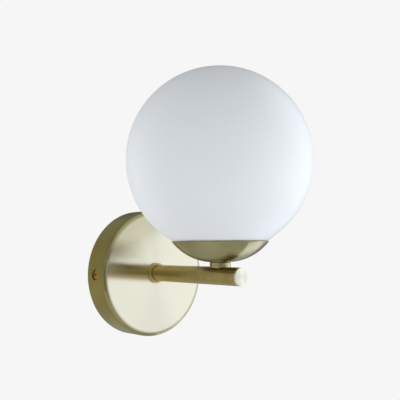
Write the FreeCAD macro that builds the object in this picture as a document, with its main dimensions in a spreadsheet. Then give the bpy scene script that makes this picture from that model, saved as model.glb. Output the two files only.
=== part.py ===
import FreeCAD, Part
import math
import os
import Sketcher
from FreeCAD import Placement, Rotation, Vector

# Globe wall sconce: a round wall plate, a horizontal arm and a glass globe in a shallow cup.
# Row frame: the wall is the plane y = 0 and the light stands out towards -Y, with +Z up.
# The origin is on the wall, on the arm's axis, which is also the centre of the wall plate.

# Driving sizes in millimetres. Heights over the arm are measured from the arm's axis.
SIZES = {
    # Wall plate, a deep-drawn cup open to the wall
    "canopy_diameter": 112,
    "canopy_depth": 24,
    "canopy_wall": 1,
    "canopy_edge_radius": 3.5,
    # Side screws and the dimples that their heads lie in
    "side_screw_height": 10.7,
    "side_screw_diameter": 4,
    "side_screw_length": 7,
    "side_head_diameter": 7.6,
    "side_head_dome": 0.9,
    "dimple_diameter": 9.6,
    "dimple_land": 0.6,
    # Wall bracket, a bent steel strap with an ear
    "bracket_thickness": 1.5,
    "bracket_width": 20,
    "bracket_bend_radius": 1.2,
    "bracket_corner_radius": 3,
    "wall_gap": 0.2,
    "tab_margin": 6,
    "slot_spacing": 60,
    "slot_length": 14,
    "slot_width": 4.5,
    "cable_hole_diameter": 14,
    "ear_width": 32,
    "ear_margin": 3,
    # Terminal block on the ear
    "block_pitch": 10,
    "block_length": 18,
    "block_base_height": 7.4,
    "block_tower_height": 13,
    "block_tower_width": 6.2,
    "block_tower_taper": 0.6,
    "block_floor": 2,
    "block_centre_height": 27,
    "insert_diameter": 5.2,
    "insert_wall": 0.9,
    "insert_margin": 1.2,
    "clamp_screw_diameter": 3,
    "clamp_screw_spacing": 9,
    "clamp_screw_depth": 1.5,
    "block_screw_diameter": 2.5,
    "block_head_height": 1.6,
    # Earth terminal on the strap
    "earth_offset": 15,
    "earth_screw_diameter": 4,
    "earth_head_diameter": 7.4,
    "earth_head_height": 2.6,
    "earth_washer_thickness": 0.8,
    "tag_thickness": 0.8,
    "tag_diameter": 8,
    "tag_neck_length": 1,
    "tag_barrel_length": 5,
    "tag_barrel_wall": 0.7,
    # Arm and its root
    "arm_diameter": 14.4,
    "arm_wall": 1.2,
    "arm_reach": 127,
    "collar_diameter": 18.4,
    "collar_length": 3.2,
    "collar_floor": 1.2,
    "collar_edge_radius": 0.5,
    "root_nipple_diameter": 10,
    "root_nipple_bore": 8,
    "root_nipple_inside": 6.5,
    "root_nipple_engagement": 10,
    "root_bush_length": 14,
    "root_nut_width": 14,
    "root_nut_height": 3,
    "root_washer_diameter": 18,
    "lock_washer_thickness": 0.8,
    # End plug
    "plug_cap_length": 2,
    "plug_cap_chamfer": 0.4,
    "plug_tail": 11,
    "plug_bore": 7,
    # Neck, cup and the nipple that clamps them to the arm, which runs on past the globe's axis
    "arm_overhang": 22.5,
    "neck_diameter": 16.8,
    "neck_height": 3.8,
    "neck_saddle": 0.6,
    "neck_chamfer": 0.4,
    "cup_nipple_diameter": 8,
    "cup_nipple_bore": 6,
    "cup_nipple_rise": 0.8,
    "cup_seat_radius": 5.7,
    "cup_arc_radius": 42,
    "cup_rim_radius": 38.9,
    "cup_wall": 1,
    "packing_thickness": 1.5,
    "cup_nut_width": 12,
    "cup_nut_height": 3,
    "cup_washer_diameter": 13,
    "grommet_wall": 0.4,
    "grommet_flange": 0.8,
    "grommet_length": 6,
    # Spring spider that holds the glass
    "spring_thickness": 0.6,
    "spring_hub_radius": 9,
    "spring_leaf_width": 8,
    "spring_leaf_count": 3,
    "spring_root_radius": 6.5,
    "spring_foot_radius": 14,
    "spring_bend_radius": 2.5,
    "spring_bow_inset": 2.2,
    "spring_rise": 7.4,
    "spring_bow_rise": 7.4,
    "spring_tip_rise": 8,
    "spring_tip_inset": 3.6,
    "spring_gap": 0.3,
    # Lampholder and its carrier
    "carrier_thickness": 0.8,
    "carrier_width": 10,
    "carrier_bend_radius": 1.2,
    "carrier_screw_margin": 4,
    "holder_length": 22,
    "holder_width": 14,
    "holder_height": 20,
    "holder_corner_radius": 3.5,
    "holder_raise": 14.1,
    "holder_screw_height": 5,
    "holder_screw_diameter": 3,
    "holder_screw_depth": 2.4,
    "holder_head_diameter": 5.4,
    "holder_head_height": 1.8,
    "pin_spacing": 9,
    "contact_gap": 0.3,
    "contact_thickness": 0.4,
    "contact_inset": 3,
    # Capsule lamp
    "pin_wire_diameter": 1.2,
    "pin_loop_width": 1.8,
    "pin_length": 6.5,
    "lamp_base_diameter": 15,
    "lamp_base_height": 9,
    "lamp_base_chamfer": 1,
    "lamp_foot_inset": 2,
    "lamp_diameter": 16,
    "lamp_height": 36,
    "lamp_wall": 1,
    # Glass globe and its gasket
    "globe_diameter": 150,
    "globe_wall": 2.5,
    "globe_opening_radius": 32,
    "rim_gap": 0.7,
    "gasket_inset": 1,
    "gasket_width": 3,
    "glass_gap": 0.3,
    # Wires: bare lengths reach into the clamps and contacts by the grip
    "wire_diameter": 1.8,
    "wire_gap": 0.4,
    "wire_bend_radius": 7,
    "wire_sag": 2.6,
    "wire_block_drop": 7.5,
    "wire_earth_drop": 1.6,
    "wire_spread_rise": 1.5,
    "wire_spread_drop": 1.7,
    "wire_grip": 1,
    # Clearances, and the chamfer at a small screw's tip
    "hole_clearance": 0.2,
    "slip_clearance": 0.05,
    "screw_tip_chamfer": 0.4,
}

# Cutters pass the faces that they cut, and joined pieces run into each other, by this much
OVERLAP = 1


class Size:
    """A length that keeps its formula over the sheet, so that a feature can be bound to it."""

    def __init__(self, value, formula):
        self.value = float(value)
        self.formula = formula

    def __add__(self, other):
        other = as_size(other)
        return Size(self.value + other.value, f"({self.formula} + {other.formula})")

    def __sub__(self, other):
        other = as_size(other)
        return Size(self.value - other.value, f"({self.formula} - {other.formula})")

    def __mul__(self, other):
        other = as_size(other)
        return Size(self.value * other.value, f"({self.formula} * {other.formula})")

    def __truediv__(self, other):
        other = as_size(other)
        return Size(self.value / other.value, f"({self.formula} / {other.formula})")

    def __radd__(self, other):
        return as_size(other) + self

    def __rsub__(self, other):
        return as_size(other) - self

    def __rmul__(self, other):
        return as_size(other) * self

    def __neg__(self):
        return as_size(0) - self


def as_size(item):
    return item if isinstance(item, Size) else Size(item, f"({float(item)})")


def side_of_triangle(long_side, other_side):
    """The other short side of a right-angled triangle."""
    square = long_side * long_side - other_side * other_side
    return Size(math.sqrt(square.value), f"sqrt({square.formula})")


def fill_sheet(document):
    sheet = document.addObject("Spreadsheet::Sheet", "Sizes")
    for row, (word, number) in enumerate(SIZES.items(), 1):
        sheet.set(f"A{row}", word.replace("_", " "))
        sheet.set(f"B{row}", str(number))
        sheet.setAlias(f"B{row}", word)
    document.recompute()
    return sheet


doc = FreeCAD.newDocument("globe_wall_sconce")
sheet = fill_sheet(doc)


def size(word):
    return Size(sheet.get(word), f"Sizes.{word}")


# Places that several pieces share, worked out from the driving sizes.
# On the wall side: distances from the wall.
canopy_radius = size("canopy_diameter") / 2
canopy_inside = size("canopy_depth") - size("canopy_wall")
side_hole_radius = size("side_screw_diameter") / 2 + size("hole_clearance")
dimple_depth = size("dimple_diameter") / 2 - side_hole_radius
tab_face = canopy_radius - dimple_depth - size("dimple_land") - size("slip_clearance")
block_middle = size("bracket_thickness") + size("block_floor") + size("insert_diameter") / 2
earth_washer_top = size("bracket_thickness") + size("earth_washer_thickness")
# Along the arm
arm_radius = size("arm_diameter") / 2
arm_bore_radius = arm_radius - size("arm_wall")
tube_start = size("canopy_depth") + size("collar_floor")
tube_end = size("arm_reach") - size("plug_cap_length")
root_nipple_start = size("canopy_depth") - size("root_nipple_inside")
# Up the globe's axis: heights over the arm's axis
axis_reach = size("arm_reach") - size("arm_overhang")
nipple_radius = size("cup_nipple_diameter") / 2
nipple_hole_radius = nipple_radius + size("hole_clearance")
cup_bottom = arm_radius + size("neck_height")
cup_floor = cup_bottom + size("cup_wall")
spring_base = cup_floor + size("packing_thickness")
carrier_base = spring_base + size("spring_thickness")
washer_base = carrier_base + size("carrier_thickness")
nut_base = washer_base + size("lock_washer_thickness")
nipple_top = nut_base + size("cup_nut_height") + size("cup_nipple_rise")
holder_base = washer_base + size("holder_raise")
holder_top = holder_base + size("holder_height")
cup_arc_centre = cup_bottom + size("cup_arc_radius")
cup_rim_drop = side_of_triangle(size("cup_arc_radius"), size("cup_rim_radius") - size("cup_seat_radius"))
cup_rim = cup_arc_centre - cup_rim_drop
cup_inner_arc = size("cup_arc_radius") - size("cup_wall")
cup_rim_inside = size("cup_seat_radius") + side_of_triangle(cup_inner_arc, cup_rim_drop)
globe_radius = size("globe_diameter") / 2
globe_centre = cup_rim + side_of_triangle(globe_radius, cup_rim_inside - size("rim_gap"))
opening_radius = size("globe_opening_radius")
glass_edge = globe_centre - side_of_triangle(globe_radius, opening_radius)
wire_radius = size("wire_diameter") / 2
wire_offset = wire_radius + size("wire_gap") / 2
tag_barrel_radius = wire_radius + size("tag_barrel_wall")
tag_barrel_start = size("tag_diameter") / 2 + size("tag_neck_length")
contact_reach = size("pin_wire_diameter") / 2 + size("contact_gap")
contact_half_length = (
    (size("pin_loop_width") + size("pin_wire_diameter")) / 2 + size("contact_gap") + size("contact_thickness"))


def cup_inside_at(radius):
    """Height of the cup's inner face at a distance from its axis."""
    return cup_arc_centre - side_of_triangle(cup_inner_arc, radius - size("cup_seat_radius"))


# Placement of a piece: built along its own +Z, then laid along the arm or stood on the globe's axis
def bind(feature, **properties):
    """Give properties of a feature their sizes, bound to the sheet where they come from it."""
    for name, item in properties.items():
        setattr(feature, name, item.value if isinstance(item, Size) else item)
        if isinstance(item, Size):
            feature.setExpression(name, item.formula)


def place(feature, x=0, y=0, z=0, rotation=Rotation()):
    feature.Placement = Placement(Vector(0, 0, 0), rotation)
    for axis, item in zip("xyz", (x, y, z)):
        feature.setExpression(f"Placement.Base.{axis}", as_size(item).formula)


OUT_OF_WALL = Rotation(Vector(1, 0, 0), 90)


def put_on_wall(feature, x=0, up=0, out=0):
    """Own +Z points out of the wall and own +Y up; out is the distance from the wall."""
    place(feature, x, -as_size(out), up, OUT_OF_WALL)


def put_on_axis(feature, x=0, out=0, up=0, rotation=Rotation()):
    """Own +Z points up along the globe's axis; out is the distance in front of that axis."""
    place(feature, x, -axis_reach - out, up, rotation)


# Sketches: closed outlines, circles and bent paths, with every corner bound to the sheet
def new_sketch(body, name, plane, rise=0):
    sketch = body.newObject("Sketcher::SketchObject", name)
    sketch.AttachmentSupport = [(origin_part(body, plane), "")]
    sketch.MapMode = "FlatFace"
    sketch.setExpression("AttachmentOffset.Base.z", as_size(rise).formula)
    return sketch


def origin_part(body, role):
    return next(part for part in body.Origin.OriginFeatures if part.Role == role)


def pin_point(sketch, geometry, end, u, v):
    """Hold a point at its distances from the sketch's origin."""
    for kind, item in (("DistanceX", as_size(u)), ("DistanceY", as_size(v))):
        number = sketch.addConstraint(Sketcher.Constraint(kind, -1, 1, geometry, end, item.value))
        sketch.setExpression(f"Constraints[{number}]", item.formula)


def pin_radius(sketch, geometry, radius):
    number = sketch.addConstraint(Sketcher.Constraint("Radius", geometry, radius.value))
    sketch.setExpression(f"Constraints[{number}]", radius.formula)


def arc_between(start, end, radius, bends_left):
    """Arc under a half circle from start to end; bends_left turns anticlockwise."""
    chord = end - start
    middle = (start + end) / 2
    height = math.sqrt(max(0, radius * radius - chord.Length * chord.Length / 4))
    left = Vector(-chord.y, chord.x, 0).normalize()
    centre = middle + left * (height if bends_left else -height)
    angles = [math.atan2(point.y - centre.y, point.x - centre.x) for point in (start, end)]
    circle = Part.Circle(centre, Vector(0, 0, 1), radius)
    if not bends_left:
        angles.reverse()
    return Part.ArcOfCircle(circle, *angles)


class Bend:
    """A corner reached by an arc; a positive turn is anticlockwise in the sketch."""

    def __init__(self, u, v, radius, anticlockwise=True):
        self.u = as_size(u)
        self.v = as_size(v)
        self.radius = as_size(radius)
        self.anticlockwise = anticlockwise


def draw_outline(sketch, corners):
    """Closed outline through the corners; a Bend is reached by an arc and a pair by a line."""
    corners = [item if isinstance(item, Bend) else Bend(*item, radius=0) for item in corners]
    points = [Vector(corner.u.value, corner.v.value, 0) for corner in corners]
    first = sketch.GeometryCount
    ends = []
    for index, corner in enumerate(corners):
        start, end = points[index - 1], points[index]
        if corner.radius.value == 0:
            sketch.addGeometry(Part.LineSegment(start, end), False)
            ends.append((1, 2))
        else:
            arc = arc_between(start, end, corner.radius.value, corner.anticlockwise)
            sketch.addGeometry(arc, False)
            ends.append((1, 2) if corner.anticlockwise else (2, 1))
    for index, corner in enumerate(corners):
        after = (index + 1) % len(corners)
        sketch.addConstraint(Sketcher.Constraint(
            "Coincident", first + index, ends[index][1], first + after, ends[after][0]))
        pin_point(sketch, first + index, ends[index][1], corner.u, corner.v)
        if corner.radius.value:
            pin_radius(sketch, first + index, corner.radius)


def draw_circle(sketch, u, v, radius):
    u, v, radius = as_size(u), as_size(v), as_size(radius)
    circle = Part.Circle(Vector(u.value, v.value, 0), Vector(0, 0, 1), radius.value)
    geometry = sketch.addGeometry(circle, False)
    pin_point(sketch, geometry, 3, u, v)
    pin_radius(sketch, geometry, radius)


def draw_rectangle(sketch, left, right, low, high):
    draw_outline(sketch, [(left, low), (right, low), (right, high), (left, high)])


def draw_slot(sketch, u, v, length, width):
    """Slot along u, with round ends of half its width."""
    u, v = as_size(u), as_size(v)
    reach, radius = (length - width) / 2, width / 2
    left, right = u - reach, u + reach
    low, high = v - radius, v + radius
    first = sketch.addGeometry([
        Part.LineSegment(*[Vector(item.value, low.value, 0) for item in (left, right)]),
        arc_between(*[Vector(right.value, item.value, 0) for item in (low, high)], radius.value, True),
        Part.LineSegment(*[Vector(item.value, high.value, 0) for item in (right, left)]),
        arc_between(*[Vector(left.value, item.value, 0) for item in (high, low)], radius.value, True)])[0]
    for index in range(4):
        sketch.addConstraint(Sketcher.Constraint("Tangent", first + index, 2, first + (index + 1) % 4, 1))
    sketch.addConstraint(Sketcher.Constraint("Equal", first + 1, first + 3))
    pin_point(sketch, first + 1, 3, right, v)
    pin_point(sketch, first + 3, 3, left, v)
    pin_radius(sketch, first + 1, radius)


def draw_bent_path(sketch, corners, radius):
    """Open path through the corners, with a tangent arc of one radius at each inner corner."""
    corners = [(as_size(u), as_size(v)) for u, v in corners]
    points = [Vector(u.value, v.value, 0) for u, v in corners]
    starts, stops = [points[0]], []
    for before, corner, after in zip(points, points[1:], points[2:]):
        turn = (corner - before).getAngle(after - corner)
        setback = radius.value * math.tan(turn / 2)
        stops.append(corner - (corner - before).normalize() * setback)
        starts.append(corner + (after - corner).normalize() * setback)
    stops.append(points[-1])
    lines = [sketch.addGeometry(Part.LineSegment(*pair), False) for pair in zip(starts, stops)]
    pin_point(sketch, lines[0], 1, *corners[0])
    pin_point(sketch, lines[-1], 2, *corners[-1])
    for index in range(1, len(points) - 1):
        start, end = stops[index - 1], starts[index]
        side = (points[index] - points[index - 1]).cross(points[index + 1] - points[index]).z
        arc = sketch.addGeometry(arc_between(start, end, radius.value, side > 0), False)
        arc_start, arc_end = (1, 2) if side > 0 else (2, 1)
        corner = sketch.addGeometry(Part.Point(points[index]), True)
        pin_point(sketch, corner, 1, *corners[index])
        sketch.addConstraint([
            Sketcher.Constraint("PointOnObject", corner, 1, lines[index - 1]),
            Sketcher.Constraint("PointOnObject", corner, 1, lines[index]),
            Sketcher.Constraint("Tangent", lines[index - 1], 2, arc, arc_start),
            Sketcher.Constraint("Tangent", arc, arc_end, lines[index], 1)])
        pin_radius(sketch, arc, radius)


# Features
def new_body(label):
    return doc.addObject("PartDesign::Body", label)


def pad(body, name, sketch, length, midplane=False):
    feature = body.newObject("PartDesign::Pad", name)
    feature.Profile = sketch
    bind(feature, Length=as_size(length))
    feature.SideType = "Symmetric" if midplane else "One side"
    return feature


def pocket(body, name, sketch, both_sides=False):
    """Cut a sketch right through the body, along the sketch's normal or against it."""
    doc.recompute()
    before = body.Shape.Volume
    feature = body.newObject("PartDesign::Pocket", name)
    feature.Profile = sketch
    feature.Type = "ThroughAll"
    feature.SideType = "Symmetric" if both_sides else "One side"
    doc.recompute()
    if feature.Shape.Volume >= before - 1e-6:
        feature.Reversed = True
        doc.recompute()
    if feature.Shape.Volume >= before - 1e-6:
        raise RuntimeError(f"{name} cuts nothing")
    return feature


def turned(label, corners):
    """A turned piece: a closed outline in its own XZ plane, revolved about its own Z axis."""
    body = new_body(label)
    sketch = new_sketch(body, f"{label}_section", "XZ_Plane")
    draw_outline(sketch, corners)
    feature = body.newObject("PartDesign::Revolution", f"{label}_turning")
    feature.Profile = sketch
    feature.ReferenceAxis = (sketch, ["V_Axis"])
    feature.Angle = 360
    return body


def ring(label, inner, outer, low, high):
    return turned(label, [(inner, low), (outer, low), (outer, high), (inner, high)])


def round_edges(body, name, radius, chosen):
    """Fillet the edges of the body's last feature whose middle point is chosen."""
    doc.recompute()
    base = body.Tip
    edges = [
        f"Edge{number}" for number, edge in enumerate(base.Shape.Edges, 1)
        if chosen(edge, edge.valueAt((edge.FirstParameter + edge.LastParameter) / 2))]
    feature = body.newObject("PartDesign::Fillet", name)
    feature.Base = (base, edges)
    bind(feature, Radius=as_size(radius))
    doc.recompute()
    return feature


def same(length, expected):
    return abs(length - expected.value) < 1e-3


def primitive(kind, label, **sizes):
    feature = doc.addObject(f"Part::{kind}", label)
    bind(feature, **sizes)
    return feature


def cylinder(label, radius, height):
    return primitive("Cylinder", label, Radius=as_size(radius), Height=as_size(height))


def cone(label, low_radius, high_radius, height):
    return primitive(
        "Cone", label, Radius1=as_size(low_radius), Radius2=as_size(high_radius), Height=as_size(height))


def cut(label, base, tool):
    feature = doc.addObject("Part::Cut", label)
    feature.Base = base
    feature.Tool = tool
    return feature


def fuse(label, shapes):
    feature = doc.addObject("Part::MultiFuse", label)
    feature.Shapes = shapes
    return feature


def group(label, links):
    """Separate solids that share one node."""
    feature = doc.addObject("Part::Compound", label)
    feature.Links = links
    return feature


def hexagon(sketch, width_across_flats):
    """Hexagon round the sketch's origin, with two flats along u."""
    flat = width_across_flats / 2
    corner = width_across_flats / math.sqrt(3)
    half = corner / 2
    draw_outline(sketch, [
        (corner, 0), (half, flat), (-half, flat), (-corner, 0), (-half, -flat), (half, -flat)])


def hex_nut(label, width, bore_radius, height):
    """Nut with its corners turned down on both faces to a circle just wider than the flats."""
    body = new_body(label)
    sketch = new_sketch(body, f"{label}_plan", "XY_Plane")
    hexagon(sketch, width)
    draw_circle(sketch, 0, 0, bore_radius)
    pad(body, f"{label}_blank", sketch, height)
    blank = width / 2 * 1.02
    corner = width / math.sqrt(3) + OVERLAP
    drop = (corner - blank) / 2
    section = new_sketch(body, f"{label}_corner_section", "XZ_Plane")
    draw_outline(section, [(blank, 0), (corner, 0), (corner, drop)])
    draw_outline(section, [(blank, height), (corner, height - drop), (corner, height)])
    groove(body, f"{label}_corners", section)
    return body


def groove(body, name, sketch):
    doc.recompute()
    before = body.Shape.Volume
    feature = body.newObject("PartDesign::Groove", name)
    feature.Profile = sketch
    feature.ReferenceAxis = (sketch, ["V_Axis"])
    feature.Angle = 360
    doc.recompute()
    if feature.Shape.Volume >= before - 1e-6:
        raise RuntimeError(f"{name} cuts nothing")
    return feature


# Wall plate
def make_canopy():
    radius, depth, wall = canopy_radius, size("canopy_depth"), size("canopy_wall")
    bend = size("canopy_edge_radius")
    hole = size("root_nipple_diameter") / 2 + size("hole_clearance")
    shell = turned("canopy_shell", [
        (hole, depth), (hole, depth - wall), (radius - bend, depth - wall),
        Bend(radius - wall, depth - bend, bend - wall, anticlockwise=False),
        (radius - wall, 0), (radius, 0), (radius, depth - bend),
        Bend(radius - bend, depth, bend)])
    put_on_wall(shell)
    bumps = []
    dimples = []
    for side, sign in (("left", -1), ("right", 1)):
        turn = Rotation(Vector(0, 1, 0), -90 * sign)
        land = dimple_depth + size("dimple_land")
        bump = cone(
            f"canopy_bump_{side}", size("dimple_diameter") / 2 + wall, side_hole_radius + wall,
            land - wall / 2)
        place(bump, sign * (canopy_radius - wall / 2), -size("side_screw_height"), 0, turn)
        bumps.append(bump)
        dimple = cone(
            f"canopy_dimple_{side}", size("dimple_diameter") / 2 + OVERLAP, side_hole_radius,
            dimple_depth + OVERLAP)
        place(dimple, sign * (canopy_radius + OVERLAP), -size("side_screw_height"), 0, turn)
        hole = cylinder(f"canopy_side_hole_{side}", side_hole_radius, land + 2 * OVERLAP)
        place(hole, sign * (canopy_radius + OVERLAP), -size("side_screw_height"), 0, turn)
        dimples += [dimple, hole]
    return cut("canopy", fuse("canopy_with_bumps", [shell] + bumps), fuse("canopy_dimples", dimples))


def make_canopy_screws():
    """Raised countersunk screws; own +Z points out of the plate's rim."""
    shank = size("side_screw_diameter") / 2
    head = size("side_head_diameter") / 2
    seat = size("dimple_diameter") / 2 - head
    neck = seat + head - shank
    tip = -neck - size("side_screw_length")
    chamfer = size("screw_tip_chamfer")
    dome = size("side_head_dome")
    dome_radius = (head * head + dome * dome) / (2 * dome)
    screws = []
    for side, sign in (("left", -1), ("right", 1)):
        screw = turned(f"canopy_screw_{side}", [
            (0, tip), (shank - chamfer, tip), (shank, tip + chamfer), (shank, -neck), (head, -seat),
            Bend(0, dome - seat, dome_radius)])
        place(
            screw, sign * canopy_radius, -size("side_screw_height"), 0, Rotation(Vector(0, 1, 0), 90 * sign))
        screws.append(screw)
    return group("canopy_screws", screws)


# Wall bracket
def make_wall_bracket():
    thick, width = size("bracket_thickness"), size("bracket_width")
    inner = size("bracket_bend_radius")
    outer = inner + thick
    top = size("side_screw_height") + size("tab_margin")
    face = tab_face
    half = size("ear_width") / 2
    ear_top = size("block_centre_height") + size("block_length") / 2 + size("ear_margin")
    corner = size("bracket_corner_radius")
    body = new_body("wall_bracket")
    section = new_sketch(body, "wall_bracket_section", "XZ_Plane")
    draw_outline(section, [
        Bend(-face + outer, 0, outer), (face - outer, 0), Bend(face, outer, outer), (face, top),
        (face - thick, top), (face - thick, outer), Bend(face - outer, thick, inner, anticlockwise=False),
        (-face + outer, thick), Bend(-face + thick, outer, inner, anticlockwise=False),
        (-face + thick, top), (-face, top), (-face, outer)])
    pad(body, "wall_bracket_strap", section, width, midplane=True)
    ear = new_sketch(body, "wall_bracket_ear_plan", "XY_Plane")
    draw_rectangle(ear, -half, half, width / 2 - OVERLAP, ear_top)
    pad(body, "wall_bracket_ear", ear, thick)
    round_edges(body, "wall_bracket_ear_corners", corner, lambda edge, middle: (
        same(middle.y, ear_top) and same(edge.BoundBox.ZLength, thick)))
    round_edges(body, "wall_bracket_tab_corners", corner, lambda edge, middle: (
        same(middle.z, top) and same(edge.BoundBox.XLength, thick)))
    holes = new_sketch(body, "wall_bracket_holes_plan", "XY_Plane")
    for sign in (-1, 1):
        draw_slot(holes, sign * size("slot_spacing") / 2, as_size(0), size("slot_length"), size("slot_width"))
    draw_circle(holes, 0, 0, size("cable_hole_diameter") / 2)
    draw_circle(holes, size("earth_offset"), 0, size("earth_screw_diameter") / 2)
    draw_circle(holes, size("block_pitch") / 2, size("block_centre_height"), size("block_screw_diameter") / 2)
    pocket(body, "wall_bracket_holes", holes, both_sides=True)
    tapped = new_sketch(body, "wall_bracket_tapped_plan", "YZ_Plane")
    draw_circle(tapped, 0, size("side_screw_height"), size("side_screw_diameter") / 2)
    pocket(body, "wall_bracket_tapped_holes", tapped, both_sides=True)
    put_on_wall(body)
    return body


# Terminal block: own Y runs along the tunnels and own Z out of the wall
def make_terminal_block():
    pitch, length = size("block_pitch"), size("block_length")
    base, tower = size("block_base_height"), size("block_tower_height")
    half, taper = size("block_tower_width") / 2, size("block_tower_taper")
    body = new_body("terminal_block")
    section = new_sketch(body, "terminal_block_section", "XZ_Plane")
    edge = pitch * 1.5
    corners = [(-edge, 0), (edge, 0), (edge, base)]
    for place_number in (1, 0, -1):
        middle = pitch * place_number
        corners += [
            (middle + half, base), (middle + half - taper, tower), (middle - half + taper, tower),
            (middle - half, base)]
    corners.append((-edge, base))
    draw_outline(section, corners)
    pad(body, "terminal_block_body", section, length, midplane=True)
    tunnel_height = block_middle - size("bracket_thickness")
    tunnels = new_sketch(body, "terminal_block_tunnels_plan", "XZ_Plane")
    for place_number in (-1, 0, 1):
        draw_circle(tunnels, pitch * place_number, tunnel_height, size("insert_diameter") / 2)
    pocket(body, "terminal_block_tunnels", tunnels, both_sides=True)
    wells = new_sketch(body, "terminal_block_wells_plan", "XY_Plane", rise=tunnel_height)
    for place_number in (-1, 0, 1):
        for sign in (-1, 1):
            draw_circle(
                wells, pitch * place_number, sign * size("clamp_screw_spacing") / 2,
                size("clamp_screw_diameter") / 2 + size("hole_clearance"))
    pocket_upwards(body, "terminal_block_wells", wells, tower)
    fixing = new_sketch(body, "terminal_block_fixing_plan", "XY_Plane")
    draw_circle(fixing, pitch / 2, 0, size("block_screw_diameter") / 2 + size("hole_clearance"))
    pocket(body, "terminal_block_fixing_hole", fixing, both_sides=True)
    put_on_wall(body, up=size("block_centre_height"), out=size("bracket_thickness"))
    return body


def pocket_upwards(body, name, sketch, depth):
    """Cut from the sketch upwards, along the sketch's normal."""
    doc.recompute()
    before = body.Shape.Volume
    feature = body.newObject("PartDesign::Pocket", name)
    feature.Profile = sketch
    feature.Reversed = True
    bind(feature, Length=as_size(depth))
    doc.recompute()
    if feature.Shape.Volume >= before - 1e-6:
        raise RuntimeError(f"{name} cuts nothing")
    return feature


def make_terminal_inserts():
    """Brass tunnels with two clamping screw threads each."""
    outer = size("insert_diameter") / 2
    inner = outer - size("insert_wall")
    length = size("block_length") - 2 * size("insert_margin")
    inserts = []
    for place_number in (-1, 0, 1):
        name = f"terminal_insert_{place_number + 2}"
        tube = ring(f"{name}_tube", inner, outer, -length / 2, length / 2)
        place(
            tube, size("block_pitch") * place_number, -block_middle, size("block_centre_height"))
        threads = []
        for sign in (-1, 1):
            thread = cylinder(
                f"{name}_thread_{'low' if sign < 0 else 'high'}", size("clamp_screw_diameter") / 2,
                outer + OVERLAP)
            put_on_wall(
                thread, size("block_pitch") * place_number,
                size("block_centre_height") + sign * size("clamp_screw_spacing") / 2, block_middle)
            threads.append(thread)
        inserts.append(cut(name, tube, fuse(f"{name}_threads", threads)))
    return group("terminal_inserts", inserts)


def make_terminal_screws():
    """Clamping screws, driven down onto the wires."""
    radius = size("clamp_screw_diameter") / 2
    chamfer = size("screw_tip_chamfer")
    low = block_middle + wire_radius + size("slip_clearance")
    high = size("bracket_thickness") + size("block_tower_height") - size("clamp_screw_depth")
    screws = []
    for place_number in (-1, 0, 1):
        for sign in (-1, 1):
            name = f"terminal_screw_{place_number + 2}_{'low' if sign < 0 else 'high'}"
            screw = turned(name, [
                (0, low), (radius - chamfer, low), (radius, low + chamfer), (radius, high), (0, high)])
            put_on_wall(
                screw, size("block_pitch") * place_number,
                size("block_centre_height") + sign * size("clamp_screw_spacing") / 2)
            screws.append(screw)
    return group("terminal_screws", screws)


def pan_screw(label, shank, head, tip, seat, top):
    """Pan-head screw along its own Z, from its tip over its seat to the head's top."""
    chamfer = size("screw_tip_chamfer")
    dome = (top - seat) / 2
    return turned(label, [
        (0, tip), (shank - chamfer, tip), (shank, tip + chamfer), (shank, seat), (head, seat),
        (head, top - dome), Bend(head - dome, top, dome), (0, top)])


def make_terminal_fixing_screw():
    seat = size("bracket_thickness") + size("block_base_height")
    head = (size("block_pitch") - size("block_tower_width")) / 2 - size("slip_clearance")
    screw = pan_screw(
        "terminal_fixing_screw", size("block_screw_diameter") / 2, head, size("wall_gap"), seat,
        seat + size("block_head_height"))
    put_on_wall(screw, size("block_pitch") / 2, size("block_centre_height"))
    return screw


# Earth terminal
def make_earth_screw():
    tag_top = earth_washer_top + size("tag_thickness")
    screw = pan_screw(
        "earth_screw", size("earth_screw_diameter") / 2, size("earth_head_diameter") / 2, size("wall_gap"),
        tag_top, tag_top + size("earth_head_height"))
    put_on_wall(screw, size("earth_offset"))
    return screw


def make_earth_washer():
    washer = ring(
        "earth_cup_washer", size("earth_screw_diameter") / 2 + size("hole_clearance"),
        size("tag_diameter") / 2, size("bracket_thickness"), earth_washer_top)
    put_on_wall(washer, size("earth_offset"))
    return washer


def make_earth_tag():
    """Ring tongue with a crimp barrel that points up to the terminal block."""
    low = earth_washer_top
    high = low + size("tag_thickness")
    outer = size("tag_diameter") / 2
    tongue = ring("earth_tag_ring", size("earth_screw_diameter") / 2 + size("hole_clearance"), outer, low, high)
    put_on_wall(tongue, size("earth_offset"))
    strap = primitive(
        "Box", "earth_tag_strap", Length=2 * tag_barrel_radius, Width=size("tag_neck_length") + 2 * OVERLAP,
        Height=high - low)
    put_on_wall(strap, size("earth_offset") - tag_barrel_radius, outer - OVERLAP, low)
    barrel = ring("earth_tag_barrel", wire_radius, tag_barrel_radius, 0, size("tag_barrel_length"))
    place(barrel, size("earth_offset"), -(low + tag_barrel_radius), tag_barrel_start)
    return fuse("earth_tag", [tongue, strap, barrel])


# Arm root
def make_arm_collar():
    """Turned ring with a recess for the tube."""
    outer, length, floor = size("collar_diameter") / 2, size("collar_length"), size("collar_floor")
    hole = size("root_nipple_diameter") / 2 + size("hole_clearance")
    seat = arm_radius + size("slip_clearance")
    edge = size("collar_edge_radius")
    collar = turned("arm_collar", [
        (hole, 0), (outer, 0), (outer, length - edge), Bend(outer - edge, length, edge),
        (seat, length), (seat, floor), (hole, floor)])
    put_on_wall(collar, out=size("canopy_depth"))
    return collar


def make_root_bush():
    outer = arm_bore_radius - size("slip_clearance")
    bush = ring("arm_root_bush", size("root_nipple_diameter") / 2, outer, 0, size("root_bush_length"))
    put_on_wall(bush, out=tube_start)
    return bush


def make_root_nipple():
    end = tube_start + size("root_nipple_engagement")
    nipple = ring(
        "canopy_nipple", size("root_nipple_bore") / 2, size("root_nipple_diameter") / 2, root_nipple_start, end)
    put_on_wall(nipple)
    return nipple


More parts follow.
